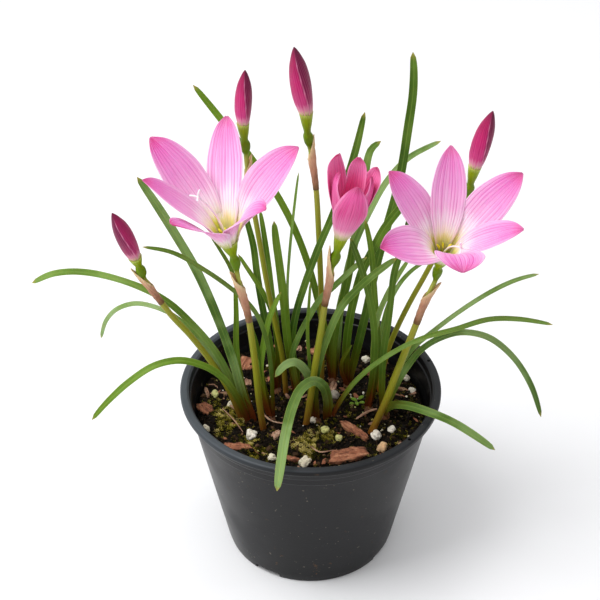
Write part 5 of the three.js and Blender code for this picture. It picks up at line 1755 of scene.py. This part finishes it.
# bark chips on the mix: place in the picture, length, width and thickness, and heading; these stand for a node
chips = {
    "front_right": ((348, 455), (21, 9, 3.2), 14),
    "front_slanting": ((354, 431), (19, 4.6, 3), -48),
    "front_left": ((236, 446), (16, 5, 2.6), -3),
    "left": ((205, 406), (10, 7, 2.4), -55),
    "back_left": ((245, 363), (11, 10, 3.4), 70),
}
paleChips = [
    ((207, 392), (7, 2, 3.4), -75), ((276, 436), (6.5, 4, 2.2), 60), ((247, 385), (9, 5, 2.6), 80),
    ((333, 389), (8, 4, 2.6), 75), ((403, 388), (7, 1.8, 1.6), -25),
]
redChips = [
    ((374, 372), (9, 4.5, 2.4), 30), ((318, 352), (9, 5, 2.4), -30), ((396, 405), (7, 3, 2), 20),
    ((292, 458), (8, 2.6, 1.8), -12),
]
chipOutline = [(-0.5, -0.3), (-0.28, -0.5), (0.24, -0.44), (0.5, -0.2), (0.46, 0.34), (0.1, 0.5), (-0.36, 0.42)]
chipSize = {
    "sides": 72, "ragged": 0.09, "rough": 0.9, "sink": 0.9, "firstLoose": 20,
    "layers": [
        (0, 0.2), (0, 0.7), (0, 0.92), (0.15, 0.98), (0.3, 0.93), (0.45, 1), (0.6, 0.94), (0.75, 0.99),
        (0.9, 0.92), (0.97, 0.86), (1, 0.78), (1, 0.68), (1, 0.56), (1, 0.44), (1, 0.32), (1, 0.2), (1, 0.08),
    ],
}


def outlineReach(way):
    # how far the chip's outline lies from its middle in a direction
    for a, b in zip(chipOutline, chipOutline[1:] + chipOutline[:1]):
        start, edge = Vector(a), Vector(b) - Vector(a)
        bottom = way.cross(edge)
        reach, share = start.cross(edge) / bottom, start.cross(way) / bottom
        if reach > 0 and 0 <= share <= 1:
            return reach
    return 0.5


def chipPiece(name, chip, seed, material):
    size, (at, (length, width, thick), heading) = chipSize, chip
    middle = onLevel(at)
    middle.z = mixTop(*middle.xy) - size["sink"]
    turned = Matrix.Rotation(math.radians(heading), 3, "Z")
    rings, along, across = [], [], []
    for height, shrink in size["layers"]:
        rings.append([])
        for turn in turnsOf(size["sides"], 0.5):
            way = armAt(turn)
            ragged = 1 + size["ragged"] * roughOf(way * 2.5 + upWay * (height * 2), 1, seed)
            reach = outlineReach(way.xy) * shrink * ragged
            a, b = reach * way.x * length, reach * way.y * width
            ridges = roughOf(Vector((a * 0.25, b * 1.5, 0)), 1, seed)
            ridges += 0.5 * roughOf(Vector((a, b * 2.5, 0)), 1, seed)
            lift = thick * height + size["rough"] * ridges * ease((height - 0.5) * 2)
            rings[-1].append(middle + turned @ Vector((a, b, lift)))
            along.append(a)
            across.append(b)
    shape = newShape("along", "across", "tone")
    addRings(shape, rings, along=along, across=across, tone=[seed * 1.7] * len(along))
    return pointOut(pieceOf(name, shape, material))


def makeChips():
    for number, (node, chip) in enumerate(chips.items()):
        settle(chipPiece("chip_" + node, chip, number + 1, barkRed), "bark", "bark_chip_" + node)
    loose = [(chip, barkPale) for chip in paleChips] + [(chip, barkRed) for chip in redChips]
    pieces = [chipPiece("loose", chip, chipSize["firstLoose"] + number, bark)
              for number, (chip, bark) in enumerate(loose)]
    pieces += [scattered("shards", shardSize, barkRed), scattered("pale_shards", paleShardSize, barkPale)]
    settle(joined("small_chips", pieces), "bark")
    print("bark chips:", len(chips) + len(loose))


# splinters that lie across the mix
splinters = [
    {"via": [(356, 419), (364, 414), (370, 411), (377, 409)], "radius": 0.65, "lift": 1.4},
    {"via": [(230, 405), (235, 409), (242, 413)], "radius": 0.55, "lift": 1.6},
    {"via": [(258, 403), (262, 412), (272, 421), (287, 424)], "radius": 0.4, "lift": 1.2},
    {"via": [(222, 408), (234, 420), (243, 432)], "radius": 0.3, "lift": 2},
    {"via": [(310, 446), (320, 452), (334, 450)], "radius": 0.35, "lift": 1.2},
    {"via": [(384, 398), (392, 394), (402, 396)], "radius": 0.4, "lift": 1.3},
]
splinterSize = {"stations": 14, "sides": 9, "lobes": 0.2, "ends": 0.35, "knots": 0.2}


def makeSplinters():
    size, ways = splinterSize, []
    for number, splinter in enumerate(splinters):
        way = smoothWay([onLevel(at, soilLevel + splinter["lift"]) for at in splinter["via"]])
        runs, radii = [], []
        for i, share in enumerate(shares(size["stations"])):
            runs.append(way["length"] * share)
            knotty = 1 + size["knots"] * roughOf(Vector((i, number, 0)), 2)
            radii.append(splinter["radius"] * lerp(size["ends"], 1, math.sin(math.pi * share) ** 0.5) * knotty)
        points, tone = [placeOn(way, run) for run in runs], [number * 0.3] * len(runs)
        ways.append(tubeWay(points, radii, along=runs, tone=tone))
    made = grown("splinters", ways, tubes, Sides=size["sides"], Lobes=size["lobes"], Material=barkPale)
    settle(made, "bark")


# a seedling between the stems: each leaf's middle in the picture, heading and length
seedling = {
    "leaves": [((354, 400), 150, 3.6), ((361, 398), 40, 3.4), ((357, 404), -80, 3.2), ((362, 403), -20, 2.8),
               ((352, 404), 200, 2.6)],
    "height": 2.6, "wide": 0.62, "thickness": 0.3, "tone": 0.9, "rise": 60, "stations": 8, "across": 6,
}


def makeSeedling():
    size, shape = seedling, newShape("tone", "across", "rise")
    vs = [2 * share - 1 for share in shares(size["across"])]
    for at, heading, length in size["leaves"]:
        middle = onLevel(at, soilLevel + size["height"])
        way = Matrix.Rotation(math.radians(heading), 3, "Z") @ rightWay
        side = Vector((-way.y, way.x, 0))
        rows = []
        for share in shares(size["stations"]):
            bulge = math.sin(math.pi * share)
            half = length * size["wide"] / 2 * max(bulge**0.7, 0.06)
            spine = middle + way * (length * (share - 0.5)) + upWay * (0.5 * bulge + 0.5 * share)
            rows.append([spine + side * (v * half) - upWay * (0.35 * v * v) for v in vs])
        many = len(vs) * len(rows)
        values = {"tone": [size["tone"]] * many, "across": vs * len(rows), "rise": [size["rise"]] * many}
        addRings(shape, rows, closed=False, caps=False, **values)
    settle(walled(pieceOf("seedling", shape, leafGreen), size["thickness"]), "leaf")


def makeMix():
    mass = joined("mix", [makeMixMass(), scattered("crumbs", crumbSize, mixDark)])
    settle(mass, "potting_mix", "potting_mix")
    settle(scattered("fine_crumbs", fineSize, mixDark), "potting_mix")
    makePerlite()
    makeMoss()
    makeChips()
    makeSplinters()
    makeSeedling()
    print("potting mix made")


makePot()
makeMix()
makeTufts()
makeFlowers()

# the floor, the soft studio light and the camera of the front picture
studio = {
    "floor": 4000, "sky": 0.885, "dimSide": (0.78, -0.62, 0), "dimFrom": 0.25, "dimTo": 0.9, "dimmed": 0.5,
    "keyPower": 16, "keySize": 800, "keyAt": (-680, -260, 1450), "keyAim": (0, 0, 80),
}
lensSize = {"sensor": 36, "reach": 20}


def makeSky(scene):
    # the light is lower on one side, and the backdrop that the camera sees is even
    world = scene.world = bpy.data.worlds.new("studio")
    world.use_nodes = True
    now["tree"] = world.node_tree
    backdrop = world.node_tree.nodes["Background"].inputs
    backdrop["Color"].default_value = (1, 1, 1, 1)
    way = {0: put("ShaderNodeTexCoord", {}, 0), 1: studio["dimSide"]}
    sky, toDimSide = studio["sky"], vectors("DOT_PRODUCT", way, 1)
    light = stretch(toDimSide, studio["dimFrom"], studio["dimTo"], sky * studio["dimmed"], sky)
    seen = put("ShaderNodeLightPath", {}, 0)
    feed(maths("MAXIMUM", light, times(seen, sky)), backdrop["Strength"])


def makeStudio():
    scene = bpy.context.scene
    half = studio["floor"] / 2
    shape = newShape()
    corners = ((-half, -half), (half, -half), (half, half), (-half, half))
    shape["points"] = [Vector((*corner, 0)) for corner in corners]
    shape["faces"] = [(0, 1, 2, 3)]
    floor = pieceOf("floor", shape, floorWhite)
    scene.view_settings.view_transform = "Standard"
    makeSky(scene)
    lamp = bpy.data.lights.new("key", "AREA")
    lamp.energy, lamp.size = studio["keyPower"], studio["keySize"] * mm
    key = bpy.data.objects.new("key", lamp)
    key.location = Vector(studio["keyAt"]) * mm
    aim = Vector(studio["keyAim"]) - Vector(studio["keyAt"])
    key.rotation_euler = aim.to_track_quat("-Z", "Y").to_euler()
    scene.collection.objects.link(key)
    lens = bpy.data.cameras.new("camera")
    lens.sensor_width, lens.clip_end = lensSize["sensor"], lensSize["reach"]
    lens.lens = view["focal"] / (2 * view["centre"]) * lens.sensor_width
    scene.camera = bpy.data.objects.new("camera", lens)
    scene.camera.location = eye * mm
    scene.camera.rotation_euler = (math.radians(90 - view["elevation"]), 0, 0)
    scene.collection.objects.link(scene.camera)


makeStudio()
